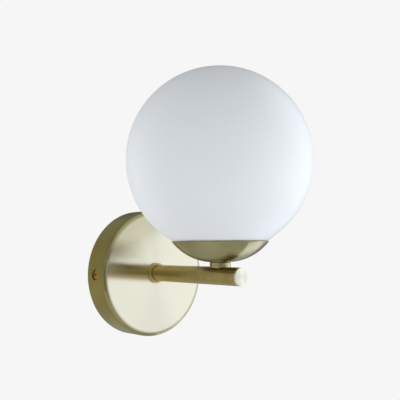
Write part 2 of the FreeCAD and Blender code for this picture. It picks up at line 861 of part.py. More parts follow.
def make_root_washer():
    high = canopy_inside
    washer = ring(
        "canopy_lock_washer", size("root_nipple_diameter") / 2 + size("hole_clearance"),
        size("root_washer_diameter") / 2, high - size("lock_washer_thickness"), high)
    put_on_wall(washer)
    return washer


def make_root_nut():
    nut = hex_nut(
        "canopy_nut", size("root_nut_width"), size("root_nipple_diameter") / 2, size("root_nut_height"))
    put_on_wall(nut, out=canopy_inside - size("lock_washer_thickness") - size("root_nut_height"))
    return nut


def grommet(label, bore_radius, flange_radius):
    """Plastic sleeve with a flange over the end of a nipple; own +Z points into the nipple."""
    outer = bore_radius - size("slip_clearance")
    inner = outer - size("grommet_wall")
    flange = size("grommet_flange")
    return turned(label, [
        (inner, -flange), (flange_radius, -flange), (flange_radius, 0), (outer, 0),
        (outer, size("grommet_length")), (inner, size("grommet_length"))])


def make_canopy_grommet():
    sleeve = grommet("canopy_grommet", size("root_nipple_bore") / 2, size("root_nipple_diameter") / 2)
    put_on_wall(sleeve, out=root_nipple_start)
    return sleeve


# Arm
def make_arm_tube():
    tube = ring("arm_tube_blank", arm_bore_radius, arm_radius, tube_start, tube_end)
    put_on_wall(tube)
    hole = cylinder("arm_tube_hole", nipple_radius + size("slip_clearance"), arm_radius + OVERLAP)
    put_on_axis(hole)
    return cut("arm_tube", tube, hole)


def make_arm_end_plug():
    """Flat cap and a long spigot, cross-bored for the nipple and bored for the wires."""
    spigot = arm_bore_radius - size("slip_clearance")
    chamfer = size("plug_cap_chamfer")
    start = axis_reach - size("plug_tail")
    blank = turned("arm_end_plug_blank", [
        (0, start), (spigot, start), (spigot, tube_end), (arm_radius, tube_end),
        (arm_radius, size("arm_reach") - chamfer), (arm_radius - chamfer, size("arm_reach")),
        (0, size("arm_reach"))])
    put_on_wall(blank)
    way = size("plug_bore") / 2
    wire_way = cylinder("arm_end_plug_wire_way", way, size("plug_tail") + OVERLAP)
    put_on_wall(wire_way, out=start - OVERLAP)
    cross = cylinder("arm_end_plug_cross_bore", nipple_radius, arm_radius + way / 2)
    put_on_axis(cross, up=-way / 2)
    return cut("arm_end_plug", cut("arm_end_plug_bored", blank, wire_way), cross)


# Neck and cup
def make_neck():
    """Turned spacer with a shallow saddle that fits the arm."""
    low = arm_radius - size("neck_saddle")
    radius, chamfer = size("neck_diameter") / 2, size("neck_chamfer")
    blank = turned("neck_blank", [
        (nipple_hole_radius, low), (radius - chamfer, low), (radius, low + chamfer),
        (radius, cup_bottom - chamfer), (radius - chamfer, cup_bottom), (nipple_hole_radius, cup_bottom)])
    put_on_axis(blank)
    saddle = cylinder("neck_saddle_cutter", arm_radius, 2 * size("neck_diameter"))
    put_on_wall(saddle, out=axis_reach - size("neck_diameter"))
    return cut("neck", blank, saddle)


def make_cup():
    """Spun dish: a flat seat, then one arc out to the rim."""
    seat, arc = size("cup_seat_radius"), size("cup_arc_radius")
    cup = turned("cup", [
        (nipple_hole_radius, cup_bottom), (seat, cup_bottom), Bend(size("cup_rim_radius"), cup_rim, arc),
        (cup_rim_inside, cup_rim), Bend(seat, cup_floor, cup_inner_arc, anticlockwise=False),
        (nipple_hole_radius, cup_floor)])
    put_on_axis(cup)
    return cup


def make_cup_nipple():
    low = size("plug_bore") / 2 + size("slip_clearance")
    nipple = ring("cup_nipple", size("cup_nipple_bore") / 2, nipple_radius, low, nipple_top)
    put_on_axis(nipple)
    return nipple


def make_cup_washer():
    washer = ring(
        "cup_washer", nipple_hole_radius, size("cup_seat_radius") - size("slip_clearance"), cup_floor,
        spring_base)
    put_on_axis(washer)
    return washer


def make_cup_lock_washer():
    washer = ring(
        "cup_lock_washer", nipple_hole_radius, size("cup_washer_diameter") / 2, washer_base, nut_base)
    put_on_axis(washer)
    return washer


def make_cup_nut():
    nut = hex_nut("cup_nut", size("cup_nut_width"), nipple_radius, size("cup_nut_height"))
    put_on_axis(nut, up=nut_base)
    return nut


def make_cup_grommet():
    sleeve = grommet("cup_grommet", size("cup_nipple_bore") / 2, nipple_radius)
    put_on_axis(sleeve, up=nipple_top, rotation=Rotation(Vector(1, 0, 0), 180))
    return sleeve


# Spring spider: a hub and three leaves, each a strip bent up through the globe's opening
def make_globe_spring():
    thick = size("spring_thickness")
    middle = spring_base + thick / 2
    body = new_body("globe_spring")
    hub = new_sketch(body, "globe_spring_hub_plan", "XY_Plane", rise=spring_base)
    draw_circle(hub, 0, 0, size("spring_hub_radius"))
    draw_circle(hub, 0, 0, nipple_hole_radius)
    pad(body, "globe_spring_hub", hub, thick)
    bow = opening_radius - size("spring_gap") - thick / 2
    path = new_sketch(body, "globe_spring_leaf_path", "XZ_Plane")
    draw_bent_path(path, [
        (size("spring_root_radius"), middle), (size("spring_foot_radius"), middle),
        (bow - size("spring_bow_inset"), middle + size("spring_rise")),
        (bow, middle + size("spring_rise") + size("spring_bow_rise")),
        (bow - size("spring_tip_inset"),
         middle + size("spring_rise") + size("spring_bow_rise") + size("spring_tip_rise"))],
        size("spring_bend_radius"))
    strip = new_sketch(body, "globe_spring_leaf_strip", "YZ_Plane", rise=size("spring_root_radius"))
    half = size("spring_leaf_width") / 2
    draw_rectangle(strip, -half, half, spring_base, spring_base + thick)
    leaf = body.newObject("PartDesign::AdditivePipe", "globe_spring_leaf")
    leaf.Profile = strip
    leaf.Spine = path
    doc.recompute()
    leaves = body.newObject("PartDesign::PolarPattern", "globe_spring_leaves")
    leaves.Originals = [leaf]
    leaves.Axis = (origin_part(body, "Z_Axis"), [""])
    leaves.Angle = 360
    leaves.Occurrences = int(size("spring_leaf_count").value)
    body.Tip = leaves
    # The first leaf points to the front, away from the wall
    put_on_axis(body, rotation=Rotation(Vector(0, 0, 1), -90))
    return body


# Lampholder
def make_lampholder_bracket():
    """U-shaped carrier; its legs rise on both sides of the ceramic."""
    thick, width = size("carrier_thickness"), size("carrier_width")
    inside = size("holder_length") / 2 + size("slip_clearance")
    face = inside + thick
    inner = size("carrier_bend_radius")
    outer = inner + thick
    low = carrier_base
    top = holder_base + size("holder_screw_height") + size("carrier_screw_margin")
    body = new_body("lampholder_bracket")
    section = new_sketch(body, "lampholder_bracket_section", "XZ_Plane")
    draw_outline(section, [
        Bend(-face + outer, low, outer), (face - outer, low), Bend(face, low + outer, outer), (face, top),
        (inside, top), (inside, low + outer), Bend(face - outer, low + thick, inner, anticlockwise=False),
        (-face + outer, low + thick), Bend(-inside, low + outer, inner, anticlockwise=False),
        (-inside, top), (-face, top), (-face, low + outer)])
    pad(body, "lampholder_bracket_strip", section, width, midplane=True)
    hole = new_sketch(body, "lampholder_bracket_hole_plan", "XY_Plane", rise=low)
    draw_circle(hole, 0, 0, nipple_hole_radius)
    pocket(body, "lampholder_bracket_hole", hole, both_sides=True)
    sides = new_sketch(body, "lampholder_bracket_side_plan", "YZ_Plane")
    draw_circle(
        sides, 0, holder_base + size("holder_screw_height"),
        size("holder_screw_diameter") / 2 + size("hole_clearance"))
    pocket(body, "lampholder_bracket_side_holes", sides, both_sides=True)
    put_on_axis(body)
    return body


def make_lampholder():
    """Ceramic block with two pin slots right through it and a screw hole in each end."""
    half_length, half_width = size("holder_length") / 2, size("holder_width") / 2
    body = new_body("lampholder")
    plan = new_sketch(body, "lampholder_plan", "XY_Plane")
    draw_rectangle(plan, -half_length, half_length, -half_width, half_width)
    pad(body, "lampholder_block", plan, size("holder_height"))
    round_edges(body, "lampholder_corners", size("holder_corner_radius"), lambda edge, middle: (
        same(edge.BoundBox.ZLength, size("holder_height"))))
    slots = new_sketch(body, "lampholder_slots_plan", "XY_Plane")
    slot_x = contact_half_length + size("slip_clearance")
    slot_y = contact_reach + size("contact_thickness") + size("slip_clearance")
    for sign in (-1, 1):
        middle = sign * size("pin_spacing") / 2
        draw_rectangle(slots, middle - slot_x, middle + slot_x, -slot_y, slot_y)
    pocket(body, "lampholder_slots", slots, both_sides=True)
    put_on_axis(body, up=holder_base)
    depth = size("holder_screw_depth") + size("hole_clearance")
    holes = []
    for side, sign in (("left", -1), ("right", 1)):
        hole = cylinder(f"lampholder_screw_hole_{side}", size("holder_screw_diameter") / 2, depth + OVERLAP)
        put_on_axis(
            hole, x=sign * (half_length - depth), up=holder_base + size("holder_screw_height"),
            rotation=Rotation(Vector(0, 1, 0), 90 * sign))
        holes.append(hole)
    return cut_named(body, "lampholder", holes)


def cut_named(body, label, tools):
    """Take the label over from a body that more is cut from."""
    body.Label = f"{label}_body"
    result = cut(f"{label}_finished", body, fuse(f"{label}_cutters", tools))
    result.Label = label
    return result


def make_lampholder_contacts():
    """A folded channel per pin: a web on the outer side and two flanges beside the pin."""
    web, thick, reach = contact_half_length, size("contact_thickness"), contact_reach
    contacts = []
    for side, sign in (("left", -1), ("right", 1)):
        body = new_body(f"lampholder_contact_{side}")
        plan = new_sketch(body, f"lampholder_contact_{side}_plan", "XY_Plane")
        draw_outline(plan, [
            (-web, -reach - thick), (web, -reach - thick), (web, reach + thick), (-web, reach + thick),
            (-web, reach), (web - thick, reach), (web - thick, -reach), (-web, -reach)])
        inset = size("contact_inset")
        pad(body, f"lampholder_contact_{side}_strip", plan, size("holder_height") - 2 * inset)
        put_on_axis(
            body, x=sign * size("pin_spacing") / 2, up=holder_base + inset,
            rotation=Rotation(Vector(0, 0, 1), 0 if sign > 0 else 180))
        contacts.append(body)
    return group("lampholder_contacts", contacts)


def make_lampholder_screws():
    shank = size("holder_screw_diameter") / 2
    seat = size("holder_length") / 2 + size("slip_clearance") + size("carrier_thickness")
    tip = size("holder_length") / 2 - size("holder_screw_depth")
    screws = []
    for side, sign in (("left", -1), ("right", 1)):
        screw = pan_screw(
            f"lampholder_screw_{side}", shank, size("holder_head_diameter") / 2, tip, seat,
            seat + size("holder_head_height"))
        put_on_axis(
            screw, up=holder_base + size("holder_screw_height"), rotation=Rotation(Vector(0, 1, 0), 90 * sign))
        screws.append(screw)
    return group("lampholder_screws", screws)


# Globe
def make_globe():
    """Blown glass shell, open at the bottom with a ground edge."""
    inner = globe_radius - size("globe_wall")
    inner_edge = globe_centre - side_of_triangle(inner, opening_radius)
    globe = turned("globe", [
        Bend(0, globe_centre + inner, inner), (0, globe_centre + globe_radius),
        Bend(globe_radius, globe_centre, globe_radius, anticlockwise=False),
        Bend(opening_radius, glass_edge, globe_radius, anticlockwise=False),
        (opening_radius, inner_edge), Bend(inner, globe_centre, inner)])
    put_on_axis(globe)
    return globe


def make_glass_gasket():
    """Soft ring: its underside follows the cup, its top follows the globe with a small gap."""
    low = opening_radius + size("gasket_inset")
    high = low + size("gasket_width")
    seat = globe_radius + size("glass_gap")
    face = cup_inner_arc
    gasket = turned("glass_gasket", [
        (low, cup_inside_at(low)), Bend(high, cup_inside_at(high), face),
        (high, globe_centre - side_of_triangle(seat, high)),
        Bend(low, globe_centre - side_of_triangle(seat, low), seat, anticlockwise=False)])
    put_on_axis(gasket)
    return gasket


# Capsule lamp
def make_lamp_base():
    radius, height = size("lamp_base_diameter") / 2, size("lamp_base_height")
    chamfer = size("lamp_base_chamfer")
    base = turned("lamp_base", [
        (0, 0), (radius - chamfer, 0), (radius, chamfer), (radius, height - chamfer),
        (radius - chamfer, height), (0, height)])
    put_on_axis(base, up=holder_top + size("slip_clearance"))
    return base


def make_lamp_envelope():
    radius, wall = size("lamp_diameter") / 2, size("lamp_wall")
    height = size("lamp_height")
    foot = size("lamp_base_diameter") / 2 - size("lamp_foot_inset")
    envelope = turned("lamp_envelope", [
        (foot, 0), Bend(radius, radius - foot, radius - foot), (radius, height - radius),
        Bend(0, height, radius), (0, height - wall),
        Bend(radius - wall, height - radius, radius - wall, anticlockwise=False),
        (radius - wall, radius - foot), Bend(foot, wall, radius - foot - wall, anticlockwise=False)])
    put_on_axis(envelope, up=holder_top + size("slip_clearance") + size("lamp_base_height"))
    return envelope


def make_lamp_pins():
    """Two wire loops, bent like hairpins, that hang from the lamp's base."""
    radius = size("pin_wire_diameter").value / 2
    half = size("pin_loop_width").value / 2
    top = (holder_top + size("slip_clearance")).value
    low = top - size("pin_length").value + radius + half
    loops = []
    for sign in (-1, 1):
        middle = sign * size("pin_spacing").value / 2
        front = -axis_reach.value
        left, right = Vector(middle - half, front, top), Vector(middle + half, front, top)
        left_low, right_low = Vector(middle - half, front, low), Vector(middle + half, front, low)
        path = Part.Wire([
            Part.LineSegment(left, left_low).toShape(),
            Part.Arc(left_low, Vector(middle, front, low - half), right_low).toShape(),
            Part.LineSegment(right_low, right).toShape()])
        loops.append(tube_along(path, left, Vector(0, 0, -1), radius))
    return shape_feature("lamp_pins", Part.Compound(loops))


def shape_feature(label, shape):
    feature = doc.addObject("Part::Feature", label)
    feature.Shape = shape
    return feature


def tube_along(path, start, direction, radius):
    section = Part.Wire([Part.Circle(start, direction, radius).toShape()])
    return path.makePipeShell([section], True, False)


# Wires: straight runs joined by tangent arcs
def rounded_route(points, radii):
    """Path through the points with an arc at each inner one."""
    edges = []
    start = points[0]
    for before, corner, after, radius in zip(points, points[1:], points[2:], radii):
        arrive, leave = (corner - before).normalize(), (after - corner).normalize()
        turn = arrive.getAngle(leave)
        setback = radius * math.tan(turn / 2)
        arc_start, arc_end = corner - arrive * setback, corner + leave * setback
        inward = (leave - arrive).normalize()
        middle = corner + inward * (radius / math.cos(turn / 2) - radius)
        edges.append(Part.LineSegment(start, arc_start).toShape())
        edges.append(Part.Arc(arc_start, middle, arc_end).toShape())
        start = arc_end
    edges.append(Part.LineSegment(start, points[-1]).toShape())
    return Part.Wire(edges)


def route_radii(points):
    """At each inner point, the largest arc that its two runs allow."""
    radii = []
    for before, corner, after in zip(points, points[1:], points[2:]):
        turn = (corner - before).getAngle(after - corner)
        shorter = min((corner - before).Length, (after - corner).Length)
        radii.append(0.45 * shorter / math.tan(turn / 2))
    return radii


def wire(label, points, radii):
    path = rounded_route(points, radii)
    solid = tube_along(path, points[0], points[1] - points[0], wire_radius.value)
    expected = math.pi * wire_radius.value ** 2 * path.Length
    if abs(solid.Volume - expected) > 0.01 * expected:
        raise RuntimeError(f"{label} is not a clean tube")
    print(label, "bend radii", [round(radius, 1) for radius in radii])
    return shape_feature(label, solid)


def make_supply_wire(label, sign, terminal):
    """From a terminal, -1, 0 or 1, through the arm, round the plug's bore and up to a contact."""
    offset = sign * wire_offset.value
    pin = sign * size("pin_spacing").value / 2
    front = -axis_reach.value
    block_x = terminal * size("block_pitch").value
    insert_depth = size("block_length").value / 2 - size("insert_margin").value
    block_edge = size("block_centre_height").value - size("block_length").value / 2
    points = [
        Vector(block_x, -block_middle.value, size("block_centre_height").value - insert_depth / 2),
        Vector(block_x, -block_middle.value, block_edge - size("wire_block_drop").value),
        Vector(offset, size("root_nipple_inside").value - root_nipple_start.value, 0),
        Vector(offset, front / 2, -size("wire_sag").value),
        Vector(offset, front, 0),
        Vector(offset, front, (nipple_top + size("wire_spread_rise")).value),
        Vector(pin, front, (holder_base - size("wire_spread_drop")).value),
        Vector(pin, front, (holder_base + size("contact_inset") + size("wire_grip")).value)]
    radii = route_radii(points)
    plug_bend = 3
    radii[plug_bend] = size("wire_bend_radius").value
    return wire(label, points, radii)


def make_earth_wire():
    """From the block's right terminal down to the tag on the strap."""
    barrel_out = (earth_washer_top + tag_barrel_radius).value
    barrel_top = (tag_barrel_start + size("tag_barrel_length")).value
    insert_depth = size("block_length").value / 2 - size("insert_margin").value
    centre = size("block_centre_height").value
    block_x = size("block_pitch").value
    drop = size("wire_earth_drop").value
    points = [
        Vector(block_x, -block_middle.value, centre - insert_depth / 2),
        Vector(block_x, -block_middle.value, centre - size("block_length").value / 2 - drop),
        Vector(size("earth_offset").value, -barrel_out, barrel_top + drop),
        Vector(size("earth_offset").value, -barrel_out, tag_barrel_start.value + size("wire_grip").value)]
    return wire("wire_earth", points, route_radii(points))


MAKERS = [
    make_wall_bracket, make_terminal_block, make_terminal_inserts, make_terminal_screws,
    make_terminal_fixing_screw, make_earth_screw, make_earth_washer, make_earth_tag, make_canopy,
    make_canopy_screws, make_arm_collar, make_arm_tube, make_root_bush, make_root_nipple, make_root_washer,
    make_root_nut, make_canopy_grommet, make_arm_end_plug, make_neck, make_cup, make_cup_nipple,
    make_cup_washer, make_globe_spring, make_lampholder_bracket, make_cup_lock_washer, make_cup_nut,
    make_cup_grommet, make_lampholder, make_lampholder_contacts, make_lampholder_screws, make_glass_gasket,
    make_globe, make_lamp_base, make_lamp_envelope, make_lamp_pins, make_earth_wire,
]
nodes = [maker() for maker in MAKERS]
nodes.append(make_supply_wire("wire_live", -1, -1))
nodes.append(make_supply_wire("wire_neutral", 1, 0))
doc.recompute()

for item in doc.Objects:
    if "Invalid" in item.State or "Error" in item.State:
        raise RuntimeError(f"{item.Label} is {item.State}")
for node in nodes:
    if node.Shape.isNull() or not node.Shape.isValid():
        raise RuntimeError(f"{node.Label} has no valid shape")

os.makedirs("parts", exist_ok=True)
for node in nodes:
    node.Shape.exportStep(f"parts/{node.Label}.step")
    box = node.Shape.BoundBox
    print(f"{node.Label}: {len(node.Shape.Solids)} solid(s), {node.Shape.Volume:.1f} mm3, "
          f"x {box.XMin:.1f}..{box.XMax:.1f} y {box.YMin:.1f}..{box.YMax:.1f} z {box.ZMin:.1f}..{box.ZMax:.1f}")
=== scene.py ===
import math

import bmesh
import bpy
from mathutils import Matrix, Vector


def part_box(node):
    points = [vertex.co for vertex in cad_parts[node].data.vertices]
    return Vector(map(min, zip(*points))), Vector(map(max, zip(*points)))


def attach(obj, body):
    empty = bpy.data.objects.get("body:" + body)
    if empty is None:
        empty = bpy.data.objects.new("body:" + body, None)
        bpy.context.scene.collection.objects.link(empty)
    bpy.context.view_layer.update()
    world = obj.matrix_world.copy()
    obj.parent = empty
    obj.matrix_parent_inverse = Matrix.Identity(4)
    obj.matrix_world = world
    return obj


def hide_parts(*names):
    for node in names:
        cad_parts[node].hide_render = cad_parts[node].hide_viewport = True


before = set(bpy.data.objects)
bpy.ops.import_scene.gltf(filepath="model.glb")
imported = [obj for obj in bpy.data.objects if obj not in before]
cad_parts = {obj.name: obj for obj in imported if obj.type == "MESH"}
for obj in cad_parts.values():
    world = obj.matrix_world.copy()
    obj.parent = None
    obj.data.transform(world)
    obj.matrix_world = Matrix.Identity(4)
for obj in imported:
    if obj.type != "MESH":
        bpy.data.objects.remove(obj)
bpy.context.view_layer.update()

bl_info = {
    "name": "Globe wall light",
    "version": (1, 0, 0),
    "blender": (4, 5, 0),
    "location": "3D View > Sidebar > Wall light",
    "description": "Dresses the frame of a wall light with a round plate, a tube arm, a spun cup and an opal globe",
    "category": "Object",
}

MM = 0.001


def span(node, axis):
    """Lowest and highest coordinate of a frame node along an axis, in metres."""
    low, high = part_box(node)
    return low[axis], high[axis]


def middle(node, axis):
    """Coordinate of a frame node's middle along an axis, in metres."""
    return sum(span(node, axis)) / 2


def out_of_wall(node):
    """Where a frame node begins and ends, counted out from the wall in millimetres."""
    low, high = span(node, 1)
    return -high / MM, -low / MM


def upward(node):
    """Where a frame node begins and ends, counted upwards in millimetres."""
    low, high = span(node, 2)
    return low / MM, high / MM


def to_the_right(node):
    """How far a frame node reaches to the right of the middle, in millimetres."""
    return span(node, 0)[1] / MM


GLOBE_Y = middle("globe", 1)
DIMPLE_OUT = -middle("canopy_screws", 1)

# The spun cup, in millimetres: its bore, its flat foot, and the arc that it rises on
CUP_BORE, CUP_FLAT, CUP_FOOT, CUP_RIM = 4.2, 5.7, 11.0, 27.27
CUP_ARC, CUP_WALL = 42.0, 1.0
CUP_CENTRE = CUP_FOOT + CUP_ARC


def on_wall(x=0.0, up=0.0, out=0.0):
    """Place of a piece whose own Z points out of the wall, in millimetres."""
    return (Matrix.Translation((x * MM, -out * MM, up * MM)) @ Matrix.Rotation(math.radians(90), 4, "X")
            @ Matrix.Scale(MM, 4))


def on_axis(x=0.0, up=0.0):
    """Place of a piece that stands on the globe's axis, in millimetres."""
    return Matrix.Translation((x * MM, GLOBE_Y, up * MM)) @ Matrix.Scale(MM, 4)


# Sizes and colours

class LightSizes(bpy.types.PropertyGroup):
    plate_radius: bpy.props.FloatProperty(
        name="Plate radius", description="Radius of the round wall plate", unit="LENGTH",
        default=span("canopy", 0)[1], min=0.04, max=0.08)
    plate_depth: bpy.props.FloatProperty(
        name="Plate depth", description="How far the plate stands off the wall", unit="LENGTH",
        default=-span("canopy", 1)[0], min=0.015, max=0.04)
    plate_edge: bpy.props.FloatProperty(
        name="Plate edge radius", description="Radius of the drawn edge between face and rim", unit="LENGTH",
        default=0.0035, min=0.001, max=0.008)
    arm_radius: bpy.props.FloatProperty(
        name="Arm radius", description="Outer radius of the tube arm", unit="LENGTH",
        default=span("arm_tube", 0)[1], min=0.005, max=0.012)
    globe_radius: bpy.props.FloatProperty(
        name="Globe radius", description="Outer radius of the opal glass", unit="LENGTH",
        default=span("globe", 0)[1], min=0.05, max=0.1)
    glass_wall: bpy.props.FloatProperty(
        name="Glass thickness", description="Thickness of the opal glass", unit="LENGTH",
        default=0.0025, min=0.001, max=0.005)


class LightColours(bpy.types.PropertyGroup):
    brass: bpy.props.FloatVectorProperty(
        name="Antique brass", description="Colour of the lacquered antique brass", subtype="COLOR", size=3,
        default=(0.345, 0.28, 0.07), min=0, max=1)
    # The plate's face colour is the same brass paled to cream: a painted highlight of the bright light that the face
    # reflects
    plate_face: bpy.props.FloatVectorProperty(
        name="Face brass with painted highlight", description="Colour of the rubbed face of the plate", subtype="COLOR", size=3,
        default=(0.76, 0.71, 0.51), min=0, max=1)
    opal: bpy.props.FloatVectorProperty(
        name="Opal glass", description="Colour of the satin opal glass", subtype="COLOR", size=3,
        default=(0.85, 0.88, 0.91), min=0, max=1)
    background: bpy.props.FloatVectorProperty(
        name="Background", description="Colour of the floor and the backdrop", subtype="COLOR", size=3,
        default=(0.921, 0.921, 0.921), min=0, max=1)


# Modelling helpers

def verts_in(parts):
    return [part for part in parts if isinstance(part, bmesh.types.BMVert)]


def edges_in(parts):
    return [part for part in parts if isinstance(part, bmesh.types.BMEdge)]


def edges_at(verts):
    """The edges that meet the given vertices, each once."""
    return list(dict.fromkeys(edge for vert in verts for edge in vert.link_edges))


def four(x, y):
    """The corners of a rectangle round the middle."""
    return [(across, along) for across in (-x, x) for along in (-y, y)]


def tidy(mesh, near=1e-5):
    """Merges doubles, clears what is left over, and turns the faces outwards."""
    bmesh.ops.remove_doubles(mesh, verts=mesh.verts[:], dist=near)
    bmesh.ops.dissolve_degenerate(mesh, edges=mesh.edges[:], dist=1e-5)
    bmesh.ops.delete(mesh, geom=[edge for edge in mesh.edges if edge.is_wire], context="EDGES")
    bmesh.ops.recalc_face_normals(mesh, faces=mesh.faces[:])


def break_edges(mesh, width, segments=2, sharper_than=40, whole_flats=True):
    """Rounds the sharp edges, as a rule after the flats next to them have been made whole."""
    if whole_flats:
        bmesh.ops.dissolve_limit(mesh, angle_limit=math.radians(0.5), verts=mesh.verts[:], edges=mesh.edges[:])
    sharp = [edge for edge in mesh.edges
             if edge.is_manifold and edge.calc_face_angle() > math.radians(sharper_than)]
    bmesh.ops.bevel(
        mesh, geom=sharp, offset=width, offset_type="OFFSET", segments=segments, profile=0.5, affect="EDGES",
        clamp_overlap=True, material=-1)


class Profile:
    """Half a turned piece's cut face: radius across and height up, in millimetres."""

    def __init__(self, radius, height):
        self.mesh = bmesh.new()
        self.first = self.last = self.mesh.verts.new((radius, 0, height))

    def to(self, *points):
        for radius, height in points:
            corner = self.mesh.verts.new((radius, 0, height))
            self.mesh.edges.new((self.last, corner))
            self.last = corner
        return self

    def arc(self, radius, height, degrees, steps):
        """Carries the outline on round the centre (radius, height)."""
        swept = bmesh.ops.spin(
            self.mesh, geom=[self.last], cent=(radius, 0, height), axis=(0, 1, 0), angle=math.radians(degrees),
            steps=steps)
        self.last = swept["geom_last"][0]
        return self

    def close(self):
        self.mesh.edges.new((self.last, self.first))
        return self

    def turn(self, steps=96, rounding=0.0, segments=2):
        """Spins the outline into a solid and breaks its sharp edges."""
        mesh = self.mesh
        for vert in mesh.verts:
            if abs(vert.co.x) < 1e-3:
                vert.co.x = 0.0
        bmesh.ops.spin(
            mesh, geom=mesh.verts[:] + mesh.edges[:], cent=(0, 0, 0), axis=(0, 0, 1), angle=math.tau, steps=steps,
            use_merge=True)
        tidy(mesh)
        if rounding:
            break_edges(mesh, rounding, segments)
        return mesh


class Sheet:
    """A flat sheet's outline and holes, in millimetres, that is cut out, thickened and folded."""

    def __init__(self, *points):
        self.mesh = bmesh.new()
        corners = [self.mesh.verts.new((x, y, 0)) for x, y in points]
        for corner, following in zip(corners, corners[1:] + corners[:1]):
            self.mesh.edges.new((corner, following))

    def hole(self, x, y, wide, high=None, corner=None, steps=8):
        """A round hole, or one with rounded corners."""
        high = high or wide
        corner = min(wide, high) / 2 if corner is None else corner
        made = bmesh.ops.create_circle(
            self.mesh, segments=4 * steps, radius=corner, matrix=Matrix.Rotation(math.pi / 4 / steps, 4, "Z"))
        for vert in made["verts"]:
            vert.co.x += math.copysign(wide / 2 - corner, vert.co.x) + x
            vert.co.y += math.copysign(high / 2 - corner, vert.co.y) + y
        return self

    def thicken(self, thick, edge, corner=0.0, corners=(), segments=2):
        """Fills the outline, makes it thick, rounds the corners at the given points, and breaks its edges."""
        mesh = self.mesh
        bmesh.ops.triangle_fill(mesh, use_beauty=True, edges=mesh.edges[:], normal=(0, 0, 1))
        raised = bmesh.ops.extrude_face_region(mesh, geom=mesh.faces[:])
        bmesh.ops.translate(mesh, verts=verts_in(raised["geom"]), vec=(0, 0, thick))
        upright = [edge for edge in mesh.edges if abs(edge.verts[0].co.z - edge.verts[1].co.z) > thick / 2 and any(
            math.hypot(edge.verts[0].co.x - x, edge.verts[0].co.y - y) < 0.01 for x, y in corners)]
        if upright:
            bmesh.ops.bevel(mesh, geom=upright, offset=corner, offset_type="OFFSET", segments=6, profile=0.5,
                            affect="EDGES", material=-1)
        bmesh.ops.recalc_face_normals(mesh, faces=mesh.faces[:])
        if edge:
            break_edges(mesh, edge, segments, 60)
            bmesh.ops.triangulate(mesh, faces=mesh.faces[:])
        return mesh


def folds_along(points, radius):
    """Where a flat strip is folded, and how far, so that it follows a bent path; last the strip's end."""
    runs = [Vector(after) - Vector(before) for before, after in zip(points, points[1:])]
    at, spare, folds = points[0][0], 0.0, []
    for run, after in zip(runs, runs[1:]):
        turn = run.angle(after)
        setback = radius * math.tan(turn / 2)
        at += run.length - spare - setback
        folds.append((at, turn))
        at += radius * turn
        spare = setback
    return folds, at + runs[-1].length - spare


def fold(mesh, degrees_round, start, turn, radius, thick, half_width=1000.0, steps=8):
    """Bends a sheet upwards round a line that lies `start` from the middle, in one direction."""
    along = Vector((math.cos(math.radians(degrees_round)), math.sin(math.radians(degrees_round)), 0))
    across = Vector((-along.y, along.x, 0))
    reach = radius * turn
    for step in range(steps + 1):
        faces = [face for face in mesh.faces if face.calc_center_median().dot(along) > 0
                 and abs(face.calc_center_median().dot(across)) < half_width]
        edges = dict.fromkeys(edge for face in faces for edge in face.edges)
        verts = dict.fromkeys(vert for face in faces for vert in face.verts)
        bmesh.ops.bisect_plane(mesh, geom=[*faces, *edges, *verts], dist=1e-4,
                               plane_co=along * (start + reach * step / steps), plane_no=along)
    for vert in mesh.verts:
        beyond = vert.co.dot(along) - start
        if beyond <= 1e-6 or abs(vert.co.dot(across)) > half_width:
            continue
        angle = min(beyond / radius, turn)
        extra = max(beyond - reach, 0.0)
        lever = radius - (vert.co.z - thick / 2)
        aside = vert.co - along * vert.co.dot(along)
        ahead = start + lever * math.sin(angle) + extra * math.cos(angle)
        vert.co = along * ahead + Vector((aside.x, aside.y, thick / 2 + radius - lever * math.cos(angle)
                                          + extra * math.sin(angle)))


def sink(mesh, face, outlines, deep):
    """Cuts flat-bottomed round wells, given as (centre, radius), into a flat face."""
    normal, rim = face.normal.copy(), face.edges[:]
    turn = normal.to_track_quat("Z", "Y").to_matrix().to_4x4()
    bmesh.ops.delete(mesh, geom=[face], context="FACES_ONLY")
    wells = []
    for centre, radius in outlines:
        made = bmesh.ops.create_circle(mesh, segments=24, radius=radius, matrix=Matrix.Translation(centre) @ turn)
        wells.append(edges_at(made["verts"]))
    bmesh.ops.triangle_fill(mesh, use_beauty=True, edges=rim + sum(wells, []), normal=normal)
    for well in wells:
        swept = bmesh.ops.extrude_edge_only(mesh, edges=well)["geom"]
        bmesh.ops.translate(mesh, verts=verts_in(swept), vec=-normal * deep)
        bmesh.ops.contextual_create(mesh, geom=edges_in(swept))


def sleeve(bore, radius, low, high, steps, rounding):
    """Plain ring or tube with broken edges."""
    outline = Profile(bore, low).to((radius, low), (radius, high), (bore, high)).close()
    return outline.turn(steps, rounding)


def thread(radius, low, high, pitch):
    """Outline of a thread's ridges, from one end of a shank to the other."""
    ridges = max(2, round(abs(high - low) / pitch * 2))
    return [(radius - (0.3 * pitch if ridge % 2 else 0.0), low + (high - low) * ridge / ridges)
            for ridge in range(ridges + 1)]


def nipple(bore, radius, low, high, eased, steps):
    """Hollow threaded tube whose bore is eased at both ends."""
    shank = radius - 0.4
    outline = Profile(bore, low + eased).to((bore + eased, low), (shank, low))
    outline.to(*thread(radius, low + 0.3, high - 0.3, 1.0)).to((shank, high), (bore + eased, high))
    return outline.to((bore, high - eased)).close().turn(steps)


